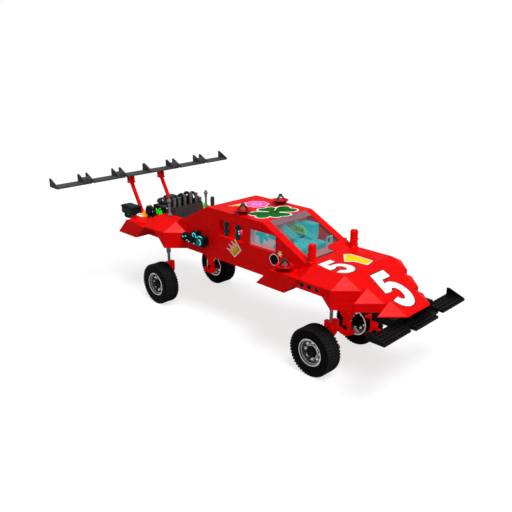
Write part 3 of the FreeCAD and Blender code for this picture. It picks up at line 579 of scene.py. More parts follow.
def heart(centre, degrees, length, width):
    """A leaf with its tip at the centre and two lobes outside, by the heart curve, 29 long and 32 wide."""
    shape = []
    for t in around(32):
        x = 16 * math.sin(t) ** 3
        y = 13 * math.cos(t) - 5 * math.cos(2 * t) - 2 * math.cos(3 * t) - math.cos(4 * t)
        shape.append(swung(centre, degrees, (y + 17) / 29 * length, x / 32 * width))
    return shape


hearts = [heart(CLOVER, *leaf_size) for leaf_size in LEAVES]
veins = [spike(CLOVER, degrees, length * 0.72, 0.14) for degrees, length, width in LEAVES]
bordered("clover", TOP, hearts, 0.2, (0.04, 0.09), leaf, middle=[circle(CLOVER, 0.6)])
print_on("clover_veins", TOP, veins, 0.12, leaf_dark)

petals = [circle(swung(FLOWER, angle, 0.72), 0.62, 24) for angle in PETALS]
bordered("flower", TOP, petals, 0.12, (0.04, 0.08), pink, middle=[circle(FLOWER, 0.5)])
dots = [circle(swung(FLOWER, angle, 0.5), 0.2, 24) for angle in PETALS]
print_on("flower_middle", TOP, dots, 0.12, pale_pink)
bordered("flower_stalk", TOP, [STALK], 0.1, (0.04, 0.08), orange)

# An arrow on the hood

ARROW = [
    [(24.82, 0.85), (25.2, 1.38), (26.6, 1.36), (26.75, -0.05), (26.12, -0.72)],
    [(26.55, 1.36), (27.9, 1.34), (28.22, 0.1), (26.7, -0.05)],
]
bordered("arrow", HOOD, ARROW, 0.12, (0.05, 0.09), yellow)

# A leaning crown, a disc and a star on the near wall

CROWN = (13.0, 10.2)
CROWN_TILT = 45
CROWN_BASE = [(-0.62, -0.72), (0.80, -0.72), (0.84, 0.0), (-0.72, 0.0)]
CROWN_BAND = [(-0.6, -0.52), (0.78, -0.52), (0.78, -0.46), (-0.6, -0.46)]
PRONGS = [(-0.53, -0.95, 0.6), (-0.13, -0.34, 0.74), (0.26, 0.3, 0.74), (0.65, 0.86, 0.6)]
DISC = (19.25, 10.45)
STAR = (20.06, 11.3)


def leaning(points):
    """Points of the crown, at their places on the wall."""
    return [swung(CROWN, CROWN_TILT, a, b) for a, b in points]


crown = [leaning(CROWN_BASE)]
crown += [leaning([(a - 0.19, -0.05), (a + 0.19, -0.05), (tip, high)]) for a, tip, high in PRONGS]
tips = [circle(spot, 0.09, 12) for spot in leaning([(tip, high) for a, tip, high in PRONGS])]
gems = [circle(spot, 0.11, 12) for spot in leaning([(-0.38, -0.16), (0.12, -0.16), (0.58, -0.16)])]
bordered("crown", SIDE, crown, 0.08, (0.05, 0.09), gold, tips)
print_on("crown_gems", SIDE, gems, 0.12, pink)
print_on("crown_band", SIDE, [leaning(CROWN_BAND)], 0.11, old_gold)
print_on("disc_rim", SIDE, [circle(DISC, 0.66)], 0.05, white)
print_on("disc", SIDE, [circle(DISC, 0.58)], 0.09, ink)
print_on("star", SIDE, [spike(STAR, 60 * i, 0.42, 0.13) for i in range(6)], 0.08, pale_yellow)

# Seams between the bricks, each from one spot of a face to another

SEAM = 0.012
WALL_SEAMS = [
    (2.5, 9.2, 10.4, 9.2), (4.5, 11.2, 10.4, 11.2), (14.6, 11.2, 15.4, 11.2), (4.5, 12.2, 10.4, 12.2),
    (8.5, 9.2, 18.5, 9.2), (19.5, 12.2, 21.5, 12.2), (10.5, 13.2, 19.4, 13.2), (19.6, 11.2, 22.5, 11.2),
    (8.5, 8.7, 8.5, 14.15), (9.5, 9.2, 9.5, 13.2), (12.5, 8.3, 12.5, 9.2), (13.5, 13.2, 13.5, 14.2),
    (17.5, 13.2, 17.5, 14.2), (21.5, 11.2, 21.5, 12.2), (4.5, 8.3, 4.5, 9.2), (4.5, 11.2, 4.5, 12.1),
    (6.5, 12.2, 6.5, 13.1), (16.5, 8.3, 16.5, 9.2),
]
ROOF_SEAMS = [
    (9.5, -4, 9.5, 4), (13.5, -4, 13.5, 4), (16.5, -4, 16.5, 4), (8.5, 2, 17.5, 2), (8.5, -2, 17.5, -2),
]
NOSE_SEAMS = [(0, -4, 0, 4), (2, -3, 2, 3), (4, -2, 4, 2), (0, -2, 6, -2), (0, 2, 6, 2), (0, 0, 6, 0)]


def seams(name, plane, lines):
    """Hairlines on a face, in a darker red."""
    bm = bmesh.new()
    for a, b, c, d in lines:
        run = Vector((c - a, d - b)).normalized() * SEAM
        start = [(a - run.y, b + run.x), (a + run.y, b - run.x)]
        slab(bm, plane, start + [(c + run.y, d - run.x), (c - run.y, d + run.x)], 0.0, 0.02)
    piece("seams_" + name, bm, seam_red, smooth=False)


seams("side", SIDE, WALL_SEAMS)
seams("roof", TOP, ROOF_SEAMS)
seams("nose", NOSE, NOSE_SEAMS)
seams("chamfer", CHAMFER, [(0, 9.25, 2, 9.25)])
seams("left", LEFT, [(-a, b, -c, d) for a, b, c, d in WALL_SEAMS])

# Tyres: five rows of small lugs between smooth sidewalls

LUG_COUNT = 48
STEPS_PER_LUG = 6
GROOVE_STEPS = 2
LUG_ROWS = 5
MIDDLE_ROW = 2
TREAD_RADIUS = 2.52
TREAD_EDGE = 0.86
ROW_WIDTH = 2 * TREAD_EDGE / LUG_ROWS
GAP = 0.03
LUG_RISE = 0.13
MIDDLE_RISE = 0.08
SIDEWALL = [
    (1.5, 0.80), (1.52, 0.93), (1.6, 0.965), (1.66, 0.995), (1.72, 0.97), (1.9, 0.985), (2.08, 0.985),
    (2.13, 1.0), (2.18, 0.98), (2.3, 0.955),
]
SHOULDER = [(2.39, 0.92, 0.08), (2.47, 0.88, 0.15)]


def lug_rise(step, row):
    """One on a lug and none in the groove between two lugs; the middle row stands half a step on."""
    shift = STEPS_PER_LUG // 2 if row == MIDDLE_ROW else 0
    return 0.0 if (step + shift) % STEPS_PER_LUG < GROOVE_STEPS else 1.0


def tyre_rows():
    """The tyre's round rows from face to face: radius, height, row of lugs, and how far the lugs rise."""
    face = [(radius, height, 0, 0.0) for radius, height in SIDEWALL]
    face += [(radius, height, 0, rise) for radius, height, rise in SHOULDER]
    lugs = []
    for row in range(LUG_ROWS):
        start = TREAD_EDGE - row * ROW_WIDTH
        top = MIDDLE_RISE if row == MIDDLE_ROW else LUG_RISE
        end = ((ROW_WIDTH - 2 * GAP, top), (ROW_WIDTH - GAP, 0.0))
        for place, rise in ((GAP, 0.0), (2 * GAP, top), (ROW_WIDTH / 2, top), *end):
            lugs.append((TREAD_RADIUS, start - place, row, rise))
    return face + lugs + [(radius, -height, row, rise) for radius, height, row, rise in face[::-1]]


def tyre(body, hub, side):
    """A tyre over the one that its wheel carries."""
    bm = bmesh.new()
    turn = turn_to((0, side, 0))
    count = LUG_COUNT * STEPS_PER_LUG
    rows = []
    for radius, height, row, rise in tyre_rows():
        radii = [radius + rise * lug_rise(i, row) for i in range(count)]
        rows.append(round_row(bm, hub, turn, radii, height))
    last_lugs = len(rows) - len(SIDEWALL) - 2
    for i, face in enumerate(skin(bm, rows, closed=True)):
        on_side = i // count < len(SIDEWALL) or i // count > last_lugs
        face.material_index = 1 if on_side else 0
        face.smooth = on_side
    thing = piece("tyre_detail_" + body, bm, tread, smooth=False, body=body)
    thing.data.materials.append(sidewall)
    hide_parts(body.replace("wheel", "tyre"))


# Rims: a bead with a painted highlight, a groove with painted shade, a dish with round holes and bosses with
# painted highlights, and a lobed black centre

RIM_STEPS = 96
RIM = [
    (1.49, -0.86), (1.49, 0.80), (1.46, 0.85), (1.41, 0.87), (1.37, 0.84), (1.355, 0.70), (1.30, 0.64),
    (1.25, 0.66), (1.21, 0.62), (1.18, 0.42), (1.12, 0.36), (0.76, 0.35), (0.70, 0.40), (0.66, 0.46),
    (0.34, 0.46), (0.315, 0.42), (0.315, -0.70), (0.56, -0.70), (0.58, -0.12), (1.08, -0.10),
    (1.26, -0.80), (1.34, -0.86),
]
# Rows of the profile with other looks than chrome: painted highlight, painted shade and black

HIGHLIGHT_ROWS = (1, 2, 3, 6, 12, 21)
SHADE_ROWS = (4, 5, 8, 9, 20)
BLACK_ROWS = (16, 17, 18)
RIM_LOOKS = {row: 1 for row in HIGHLIGHT_ROWS} | {row: 2 for row in SHADE_ROWS} | {row: 3 for row in BLACK_ROWS}
CENTRE = [
    (0.565, 0.0, 0.46), (0.61, 0.06, 0.46), (0.61, 0.06, 0.60), (0.58, 0.05, 0.63), (0.565, 0.0, 0.60),
]
BOSSES = 8


def rim(body, hub, side):
    """A rim over the one that its wheel carries, with its bosses and its black centre."""
    turn = turn_to((0, side, 0))
    bm = bmesh.new()
    for i, face in enumerate(lathe(bm, hub, turn, RIM, RIM_STEPS, closed=True)):
        face.material_index = RIM_LOOKS.get(i // RIM_STEPS, 0)
    thing = piece("rim_detail_" + body, bm, chrome, body=body)
    for look in (chrome_highlight, chrome_shade, black):
        thing.data.materials.append(look)
    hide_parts(body.replace("wheel", "rim"))
    bosses = bmesh.new()
    bars(bosses, hub, turn, around(BOSSES), 0.92, (0.3, 0.45), 0.12, 0.072)
    bars(bosses, hub, turn, around(BOSSES, 0.5), 0.86, (-0.08, -0.3), 0.15, 0.1)
    piece("rim_bosses_" + body, bosses, chrome_highlight, body=body)
    middle = bmesh.new()
    bars(middle, hub, turn, around(BOSSES, 0.5), 0.97, (0.3, 0.375), 0.115)
    rows = []
    for radius, lobe, height in CENTRE:
        radii = [radius + lobe * math.cos(BOSSES * angle) for angle in around(RIM_STEPS)]
        rows.append(round_row(middle, hub, turn, radii, height))
    skin(middle, rows, closed=True)
    piece("rim_centre_" + body, middle, black, body=body)


for body, hub in WHEELS.items():
    side = -1 if hub.y < 0 else 1
    tyre(body, hub, side)
    rim(body, hub, side)

# Turned fittings: each stands for a few-sided part of the same size


def turned(name, spots, profile, look, stands_for, steps=32):
    """Round bodies with one profile, set upright at several places."""
    bm = bmesh.new()
    for spot in spots:
        lathe(bm, at(*spot), UP, profile, steps)
    thing = piece(name, bm, look)
    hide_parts(stands_for)


def balls(name, spots, radius, look):
    """Small balls of one size."""
    bm = bmesh.new()
    for spot in spots:
        ball(bm, at(*spot), radius)
    piece(name, bm, look)


def pair(x, y, z):
    """The same place on the near side and on the far side."""
    return [(x, -y, z), (x, y, z)]


STRUT_FEET = [(0, -3.5, 5.0), (0, 3.5, 5.0), (26, -2.5, 5.0), (25, 1.55, 5.0)]
STRUT = [
    (0.18, 0.0), (0.18, 1.32), (0.23, 1.36), (0.23, 1.46), (0.29, 1.5), (0.29, 1.92), (0.25, 1.96),
    (0.25, 2.3), (0.29, 2.34), (0.29, 3.2),
]
turned("strut_detail", STRUT_FEET, STRUT, strut_grey, "struts")

DAMPER_FEET = pair(0, 3.04, DECK)
DAMPER = [
    (0.2, 0.0), (0.2, 0.04), (0.28, 0.1), (0.30, 0.24), (0.27, 0.38), (0.15, 0.46), (0.14, 1.45),
    (0.2, 1.5), (0.2, 1.58), (0.14, 1.64), (0.13, 1.74), (0.22, 1.82), (0.27, 1.98), (0.25, 2.14),
    (0.15, 2.24), (0.13, 2.33), (0.08, 2.37),
]
turned("damper_detail", DAMPER_FEET, DAMPER, grey, "damper_tops")
bm = bmesh.new()
for foot in DAMPER_FEET:
    for low in (1.66, 2.25, 0.40):
        tube(bm, at(*foot) + raised(low), at(*foot) + raised(low + 0.06), 0.17)
piece("damper_bands", bm, darker)

TUBE = [(0.27, 0.0), (0.27, 1.42), (0.25, 1.5), (0.18, 1.57), (0.1, 1.6)]
turned("deck_tube_detail", [(0.9, 3.4, DECK)], TUBE, dark, "deck_tube")

POST = [
    (0.5, 0.0), (0.5, 0.17), (0.44, 0.22), (0.42, 0.3), (0.42, 1.82), (0.40, 1.92), (0.34, 1.98),
    (0.25, 2.0),
]
POST_HOOKS = [
    (23.67, -3.78, DECK + 0.85), (23.6, -3.8, DECK + 0.2), (24.33, 3.78, DECK + 1.0),
    (24.33, 3.8, DECK + 0.4),
]
turned("hood_post_detail", pair(24, 3.5, DECK), POST, red, "hood_posts")
balls("post_hooks", POST_HOOKS, 0.09, sea)

BOWL = [
    (0.4, 0.0), (0.4, 0.09), (0.5, 0.1), (0.72, 0.25), (0.9, 0.38), (0.99, 0.47), (1.0, 0.5), (0.95, 0.5),
    (0.86, 0.46), (0.66, 0.34), (0.46, 0.22), (0.2, 0.2),
]
turned("bowls", pair(13.5, 3.05, ROOF) + pair(21.7, 5, LEDGE), BOWL, bowl_red_painted_shade, "dishes", 48)

SPOOL_FEET = pair(11.35, 3.6, DECK) + pair(13.25, 3.6, DECK)
SPOOL = [(0.24, 0.0), (0.24, 0.42), (0.22, 0.48), (0.22, 1.36), (0.24, 1.42), (0.24, 1.9)]
turned("spool_cores", SPOOL_FEET, SPOOL, sea, "niche_spools", 24)
bm = bmesh.new()
for spot in SPOOL_FEET:
    for low in (0.48, 1.3):
        foot = at(*spot) + raised(low)
        tube(bm, foot, foot + raised(0.12), 0.31, sides=24)
        bars(bm, foot, UP, around(8, 0.25), 0.30, (0.02, 0.24), 0.09, 0.06, 8)
piece("spool_teeth", bm, sea, smooth=False)

# Wing posts: a ribbed post on a foot, a round flange and a fork with two eyes

POST_X = -6.9
POST_Y = 2.5
RIBS = 60
FOOT = [(0.35, 0.0), (0.35, 0.3), (0.32, 0.38), (0.27, 0.4)]
FLANGE = [(0.3, 0.0), (0.54, 0.02), (0.58, 0.07), (0.57, 0.13), (0.45, 0.16), (0.3, 0.16)]
EYE = [(0.206, -0.001), (0.206, 0.231), (0.33, 0.231), (0.36, 0.2), (0.36, 0.03), (0.33, -0.001)]
CHEEK = Vector((0.6, 0.23, 0.5)) * STUD
posts = bmesh.new()
forks = bmesh.new()
for side in (-1, 1):
    foot = at(POST_X, POST_Y * side, LEDGE)
    fork = PIVOT + Vector((0, POST_Y * side * STUD, 0))
    start = foot + raised(0.2)
    head = fork + Vector((0.1, 0, -0.5)) * STUD
    places = [start.lerp(head, i / RIBS) for i in range(RIBS + 1)]
    pipe(posts, places, [0.27 if i % 2 == 0 else 0.255 for i in range(RIBS + 1)], 24)
    lathe(posts, foot, UP, FOOT, 32)
    lathe(forks, fork + Vector((0.05, 0, -0.6)) * STUD, UP, FLANGE, 32)
    for y in (-0.4, 0.17):
        eye = fork + Vector((0, y, 0)) * STUD
        box(forks, eye + Vector((0, 0.115, -0.25)) * STUD, CHEEK)
        lathe(forks, eye, turn_to((0, 1, 0)), EYE, 32, closed=True)
thing = piece("wing_post_detail", posts, red)
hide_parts("wing_posts")
# The forks glow with painted light where the rear wing's shadow falls on them
piece("wing_forks", forks, red_painted_light)

# Engine: side panels, black sheets of painted shade in its side recesses, and boxes on top

PANELS = [[(0.2, -1.75, 10.35), (0.24, 2.2, 11.95)], [(0.2, -2.28, 10.35), (0.23, -2.0, 11.95)]]
PANELS += [[(0.24, y - 0.03, 10.4), (0.26, y + 0.03, 11.9)] for y in (-1.0, 0.0, 1.0)]
# The first two are black sheets of painted shade in the recesses round the coils
RECESSES = [[(-4.3, -2.34, 10.3), (-1.75, -2.3, 11.75)], [(-4.3, 2.3, 10.3), (-1.75, 2.34, 11.75)]]
RECESSES += [[(-0.35, y - 0.2, 12.1), (0.15, y + 0.2, 12.32)] for y in (-1.9, -1.0, 0.05, 1.0, 1.8)]
RECESSES += [[(-1.15, -2.2, 12.0), (-0.45, 2.2, 12.55)]]
blocks("engine_panels", PANELS, engine_grey)
blocks("engine_recess", RECESSES, black)

# Engine pipes: six tall loops with a sleeve in front, and four small loops between them

PIPES = [(-2.1, 1.05), (-1.35, 1.05), (-0.45, 1.25), (0.5, 1.35), (1.45, 1.2), (2.1, 0.5)]
PIPE_X = -0.1
PIPE_FOOT = 12.05
WIDEST_BEND = 0.65
BEND_STEPS = 12


def half_turn(middle, across, radii):
    """Places over an arch from one side to the other, with its radii across and up."""
    places = []
    for i in range(BEND_STEPS + 1):
        a = math.pi * i / BEND_STEPS
        aside = Vector(across) * (radii[0] * math.cos(a) * STUD)
        places.append(middle + aside + raised(radii[1] * math.sin(a)))
    return places


loops = bmesh.new()
sleeves = bmesh.new()
for y, rise in PIPES:
    bend = min(WIDEST_BEND, rise)
    middle = at(PIPE_X - bend, y, 12.2 + rise - bend)
    curve = half_turn(middle, (1, 0, 0), (bend, bend))
    places = [at(PIPE_X, y, PIPE_FOOT)] + curve + [at(PIPE_X - 2 * bend, y, PIPE_FOOT)]
    pipe(loops, places, [0.2] * len(places), 18)
    sleeve = [(0.24, 0.0), (0.24, 0.1), (0.2, 0.14), (0.2, rise + 0.1)]
    sleeve += [(0.225, rise + 0.13), (0.225, rise + 0.22), (0.18, rise + 0.25)]
    lathe(sleeves, at(PIPE_X, y, PIPE_FOOT), UP, sleeve, 24)
for y in (-1.75, -0.9, 0.05, 0.95):
    curve = half_turn(at(-0.75, y, 12.95), (0, -1, 0), (0.35, 0.3))
    places = [at(-0.75, y - 0.35, 12.5)] + curve + [at(-0.75, y + 0.35, 12.5)]
    pipe(loops, places, [0.13] * len(places), 12)
thing = piece("pipe_loops", loops, darker)
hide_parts("engine_stacks")
piece("pipe_sleeves", sleeves, pipe_grey)

# Air cleaner: a round box with spokes on its lid and bolts round its brim

CLEANER_FOOT = (-3.2, -0.8, 11.75)
CLEANER = [
    (1.1, 0.0), (1.2, 0.06), (1.2, 0.34), (1.4, 0.38), (1.5, 0.44), (1.5, 0.62), (1.45, 0.69),
    (1.28, 0.7), (1.24, 0.64), (0.98, 0.64), (0.94, 0.7), (0.46, 0.7), (0.42, 0.66), (0.4, 0.7),
    (0.4, 0.77), (0.3, 0.8), (0.1, 0.8),
]
turned("air_cleaner_detail", [CLEANER_FOOT], CLEANER, darker, "air_cleaner", 64)
bm = bmesh.new()
lid = at(*CLEANER_FOOT) + raised(0.67)
for angle in around(20):
    tube(bm, lid + polar(1.0, angle), lid + polar(1.22, angle), 0.05, sides=8)
bars(bm, at(*CLEANER_FOOT), UP, around(12), 1.37, (0.65, 0.72), 0.07, sides=10)
piece("air_cleaner_ribs", bm, dark, smooth=False)

# Green coils on the engine's sides, a green cap, and small lamps

COIL_TURNS = 2.5
COIL_STEPS = 79
LAMPS = [
    (-2.95, -2.36, 11.53), (-1.42, -2.36, 11.81), (-0.9, -1.6, 12.58), (-3.4, -1.55, 12.5),
    (-3.0, -1.8, 12.5),
]
bm = bmesh.new()
for side in (-1, 1):
    places = []
    for i in range(COIL_STEPS + 1):
        t = i / COIL_STEPS
        wave = 0.34 * math.cos(2 * math.pi * COIL_TURNS * t)
        places.append(at(-3.75 + 1.35 * t, side * 2.45, 11.05 + wave - 0.1 * t))
    pipe(bm, places, [0.075] * len(places), 10)
# The coils and the cap glow with painted light
piece("green_coils", bm, neon)
bm = bmesh.new()
tube(bm, at(-0.05, 2.75, 11.2), at(-0.05, 2.75, 11.8), 0.13)
ball(bm, at(-0.05, 2.75, 11.8), 0.14, 8)
piece("green_cap", bm, neon)
balls("engine_lamps", LAMPS, 0.08, white)
# The small blue light on the engine glows with painted light
balls("engine_light", [(-2.21, -0.19, 12.6)], 0.09, spark)

# Cooling fans: a shroud with a hub, seven twisted blades, an arc of painted highlight and five rivets

FAN = [
    (0.87, -0.15), (0.87, 0.1), (0.84, 0.15), (0.77, 0.15), (0.74, 0.1), (0.74, -0.05), (0.3, -0.05),
    (0.3, -0.15),
]
FAN_HUB = [(0.3, -0.15), (0.3, 0.0), (0.22, 0.12), (0.1, 0.16)]
BLADES = 7
BLADE_ROWS = [(0.2, 0.5), (0.45, 0.42), (0.72, 0.34)]


def blade(bm, centre, turn, angle):
    """A blade from the hub to the shroud, which twists less towards its tip."""
    rows = []
    for reach, twist in BLADE_ROWS:
        half = polar(0.16 * reach + 0.08, angle + math.pi / 2) + raised(twist * 0.16)
        rows.append([bm.verts.new(centre + turn @ (polar(reach, angle) + half * way)) for way in (-1, 1)])
    for low, high in zip(rows, rows[1:]):
        bm.faces.new((low[0], low[1], high[1], high[0]))


fans = bmesh.new()
rivets = bmesh.new()
gloss = bmesh.new()
for side in (-1, 1):
    turn = turn_to((0, side, 0))
    middle = at(-4.05, side * 3.2, LEDGE + 0.87)
    lathe(fans, middle, turn, FAN, 48, closed=True)
    lathe(fans, middle, turn, FAN_HUB, 24)
    for angle in around(BLADES):
        blade(fans, middle, turn, angle)
    # Painted highlight: a pale arc on each shroud
    ring(gloss, at(-4.05, side * 3.33, LEDGE + 0.87), turn, 0.8, 0.06, 95, 190)
    for i in range(5):
        ball(rivets, middle + turn @ polar(0.8, math.radians(72 * i + 10), 0.15), 0.07)
thing = piece("fan_detail", fans, navy)
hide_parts("cooling_fans")
piece("fan_painted_highlight", gloss, highlight_grey)
piece("fan_rivets", rivets, yellow)

# Orange cones and white rings behind the fans

bm = bmesh.new()
for side in (-1, 1):
    tube(bm, at(-5.35, 3.3 * side, LEDGE), at(-5.2, 3.35 * side, 10.9), 0.42, 0.12, 24)
    tube(bm, at(-5.05, 3.05 * side, LEDGE), at(-5.05, 3.05 * side, 10.65), 0.3, 0.24, 24)
piece("orange_cones", bm, orange)
bm = bmesh.new()
for side in (-1, 1):
    ring(bm, at(-5.95, 3.5 * side, LEDGE + 0.1), UP, 0.4, 0.1)
    ring(bm, at(-5.3, 3.72 * side, LEDGE + 0.08), UP, 0.22, 0.08)
piece("white_rings", bm, white)

# Tail boxes: slats and plates; the nozzles: a stepped round body with six lights, which glow with painted light

NOZZLE = [
    (0.45, 0.0), (0.45, 0.3), (0.38, 0.34), (0.38, 0.5), (0.45, 0.54), (0.45, 0.8), (0.36, 0.86),
    (0.36, 1.05), (0.42, 1.1), (0.45, 1.3), (0.45, 1.76), (0.42, 1.8), (0.33, 1.8), (0.3, 1.76),
    (0.3, 0.9), (0.1, 0.85),
]
SLATS = [-8.9, -8.35, -7.8, -7.25]
panels = []
for side in (-1, 1):
    for x in SLATS:
        panels.append([(x, 3.0 * side - 0.05, LEDGE + 1.1), (x + 0.3, 4.2 * side, LEDGE + 1.16)])
    panels.append([(-9.13, 3.1 * side, LEDGE + 0.25), (-9.1, 4.1 * side, LEDGE + 0.8)])
    panels.append([(-8.8, 4.3 * side, LEDGE + 0.2), (-6.8, 4.33 * side, LEDGE + 0.75)])
blocks("tail_box_panels", panels, dark)
bm = bmesh.new()
lights = bmesh.new()
backwards = turn_to((-1, 0, 0))
for side in (-1, 1):
    start = at(-7.5, 3.4 * side, LEDGE - 0.5)
    lathe(bm, start, backwards, NOZZLE, 36)
    for i, angle in enumerate(around(6)):
        ball(lights, start + backwards @ polar(0.42, angle, 0.42 + 0.55 * (i % 2)), 0.07)
thing = piece("nozzle_detail", bm, black)
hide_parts("tail_nozzles")
piece("nozzle_lights", lights, spark)

# Pods on the walls: a ribbed barrel, a clip, a round housing, knobs, and painted glints: small glowing lines, arcs
# and dots

BARREL = [
    (0.3, 0.0), (0.42, 0.04), (0.5, 0.14), (0.54, 0.2), (0.54, 0.45), (0.45, 0.5), (0.45, 0.85),
    (0.54, 0.9), (0.54, 1.15), (0.45, 1.2), (0.45, 1.6), (0.52, 1.66), (0.52, 2.2), (0.4, 2.26),
    (0.4, 2.5), (0.5, 2.56), (0.5, 2.88), (0.42, 2.95),
]
HOUSING = [
    (0.55, 0.0), (0.65, 0.05), (0.65, 0.35), (0.57, 0.4), (0.57, 0.5), (0.65, 0.55), (0.65, 0.82),
    (0.61, 0.94), (0.54, 1.0), (0.4, 1.0),
]
KNOBS = [
    (6.9, 4.45, 10.85, 0.3), (7.3, 4.6, 10.3, 0.3), (7.75, 4.55, 10.5, 0.28), (5.0, 4.7, 10.32, 0.2),
    (5.7, 4.78, 9.62, 0.2), (6.4, 4.7, 10.3, 0.2), (8.55, 4.6, 10.55, 0.25), (8.6, 4.6, 9.6, 0.22),
]
BARREL_GLINTS = [(1.0, 70), (1.75, 40), (2.5, 70)]
POD_GLINT_ARCS = [
    (8.1, 4.9, 10.05, 0.64, 0.06, 60, 170),
    (8.1, 5.1, 10.05, 0.34, 0.06, -70, 80),
    (6.9, 4.8, 10.6, 0.26, 0.055, 0, 230),
    (6.95, 4.85, 9.75, 0.18, 0.055, 0, 360),
]
POD_GLINT_DOTS = [(5.1, 10.1), (5.6, 10.25), (5.85, 9.8), (6.2, 9.7), (7.5, 10.55)]
bm = bmesh.new()
lights = bmesh.new()
rims = bmesh.new()
for side in (-1, 1):
    turn = turn_to((0, side, 0))
    barrel = at(4.6, 4.55 * side, 9.95)
    lathe(bm, barrel, AHEAD, BARREL, 40)
    lathe(bm, at(8.1, 4.0 * side, 10.05), turn, HOUSING, 48)
    block(bm, (6.5, 4.0 * side, 10.2), (7.3, 4.8 * side, 11.0))
    for x, y, z, radius in KNOBS:
        ball(bm, at(x, y * side, z), radius, 8)
    for ahead, end in BARREL_GLINTS:
        ring(lights, barrel + Vector((ahead, 0, 0)) * STUD, AHEAD, 0.47, 0.06, 0, end)
    for x, y, z, radius, thick, start, end in POD_GLINT_ARCS:
        ring(lights, at(x, y * side, z), turn, radius, thick, start, end)
    for x, z in POD_GLINT_DOTS:
        ball(lights, at(x, 5.05 * side, z), 0.08)
    ring(rims, at(8.1, 5.06 * side, 10.05), turn, 0.52, 0.06)
thing = piece("pod_detail", bm, black)
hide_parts("turbine_pods")
piece("pod_painted_glints", lights, spark)
piece("lens_rims", rims, darker)

# Niches: lamps that glow with painted light and carry two painted glints each, and backs and floors that glow with
# painted light

heads = bmesh.new()
sparks = bmesh.new()
for side in (-1, 1):
    ball(heads, at(14.1, 3.85 * side, 12.3), 0.33, 10)
    ball(sparks, at(14.02, 4.13 * side, 12.2), 0.1, 8)
    ball(sparks, at(13.82, 4.02 * side, 12.4), 0.08, 8)
piece("niche_lamp_heads", heads, crimson)
piece("niche_lamp_painted_glints", sparks, spark)
PAINTED_LIGHT_LININGS = [[(10.52, 3.2, 11.2), (14.48, 3.22, 13.1)], [(10.52, 3.2, 11.2), (14.48, 3.98, 11.22)]]
blocks("niche_painted_light_linings", both_sides(PAINTED_LIGHT_LININGS), red_painted_light)

# Side windows: coloured panels inside the clear trays, which glow with painted light

pane_grey = finish("panel_grey", (0.42, 0.38, 0.41), 0.4, glow=0.55)
pane_pink = finish("panel_pink", (0.60, 0.20, 0.22), 0.4, glow=0.5)
pane_cyan = finish("panel_cyan", (0.0, 0.40, 0.43), 0.3, glow=0.55)
pane_slate = finish("panel_slate", (0.24, 0.29, 0.31), 0.4, glow=0.5)
NEAR_PANE = Plane(at(0, -3.2, 0), (1, 0, 0), (0, 0, 1))
FAR_PANE = Plane(at(0, 3.2, 0), (-1, 0, 0), (0, 0, 1))
SHEET = [[(15.5, 11.3), (19.35, 11.3), (19.35, 13.1), (15.5, 13.1)]]
SHAPES = [
    [(16.3, 11.5), (16.85, 11.4), (17.0, 13.0), (16.2, 13.0)],
    [(15.75, 12.3), (16.4, 12.15), (16.35, 12.75), (15.8, 12.6)],
    [(16.8, 12.2), (17.5, 11.9), (17.7, 12.2), (16.95, 12.95)],
    [(17.6, 12.38), (18.75, 12.3), (18.8, 12.9), (17.7, 12.95)],
    [(18.3, 11.35), (19.25, 11.3), (19.3, 12.4), (18.95, 12.4)],
]


def on_panes(name, shapes, low, high, look):
    """Flat shapes in the near window, and the same ones mirrored in the far window."""
    bm = bmesh.new()
    for shape in shapes:
        slab(bm, NEAR_PANE, shape, low, high)
        slab(bm, FAR_PANE, [(-a, b) for a, b in shape], low, high)
    piece(name, bm, look, smooth=False)


on_panes("window_sheets", SHEET, 0.0, 0.3, pane_grey)
on_panes("window_shapes", SHAPES, 0.3, 0.6, pane_cyan)
blocks("window_floors", both_sides([[(15.5, 3.2, 11.3), (19.4, 3.78, 11.36)]]), pane_pink)
blocks("window_ends", both_sides([[(15.5, 3.2, 11.36), (15.56, 3.78, 13.1)]]), pane_slate)

# Cabin under the windscreen: coloured panels and boxes, which glow with painted light

FLOOR_GLOW = 0.15
PANEL_GLOW = 0.42
PALE_FLOOR = [[(18.0, -2.9, 11.22), (21.4, 2.9, 11.26)]]
PINK_FLOOR = [[(21.4, -2.9, 11.22), (22.5, 2.9, 11.26)], [(22.5, -2.9, 11.22), (23.3, 0.95, 11.26)]]
BLUE_CASE = [[(17.7, 1.9, 11.7), (19.55, 2.9, 13.1)], [(18.2, 2.1, 11.3), (19.0, 2.9, 11.7)]]
PINK_TILES = [[(17.6, -1.5, 11.76), (17.75, -0.5, 13.1)], [(17.6, -2.9, 12.2), (17.75, -2.2, 13.1)]]
INSIDE = [
    ("screen_back", (0.0, 0.20, 0.22), [[(17.5, -3.0, 11.2), (17.56, 3.0, 13.7)]]),
    ("header", (0.26, 0.105, 0.13), [[(17.56, -2.9, 13.15), (17.75, 2.9, 13.7)]]),
    ("cabin_floor_pale", (0.03, 0.40, 0.42), PALE_FLOOR),
    ("cabin_floor_pink", (0.38, 0.147, 0.16), PINK_FLOOR),
    ("blue_case", (0.0, 0.33, 0.36), BLUE_CASE),
    ("pink_tiles", (0.30, 0.17, 0.20), PINK_TILES),
    ("brown_tiles", (0.13, 0.20, 0.14), [[(17.6, -0.5, 11.5), (17.8, 1.1, 13.0)]]),
    ("cross_beam", (0.0, 0.22, 0.24), [[(21.4, -2.9, 11.3), (22.0, 1.2, 11.7)]]),
]
for name, colour, corners in INSIDE:
    glow = FLOOR_GLOW if "floor" in name else PANEL_GLOW
    blocks(name, corners, finish(name + "_look", colour, 0.35, glow=glow))

# Clear cyan sheets of painted glint and a small panel that stand along the cabin, and a band on the windscreen;
# the panel and the band glow with painted light

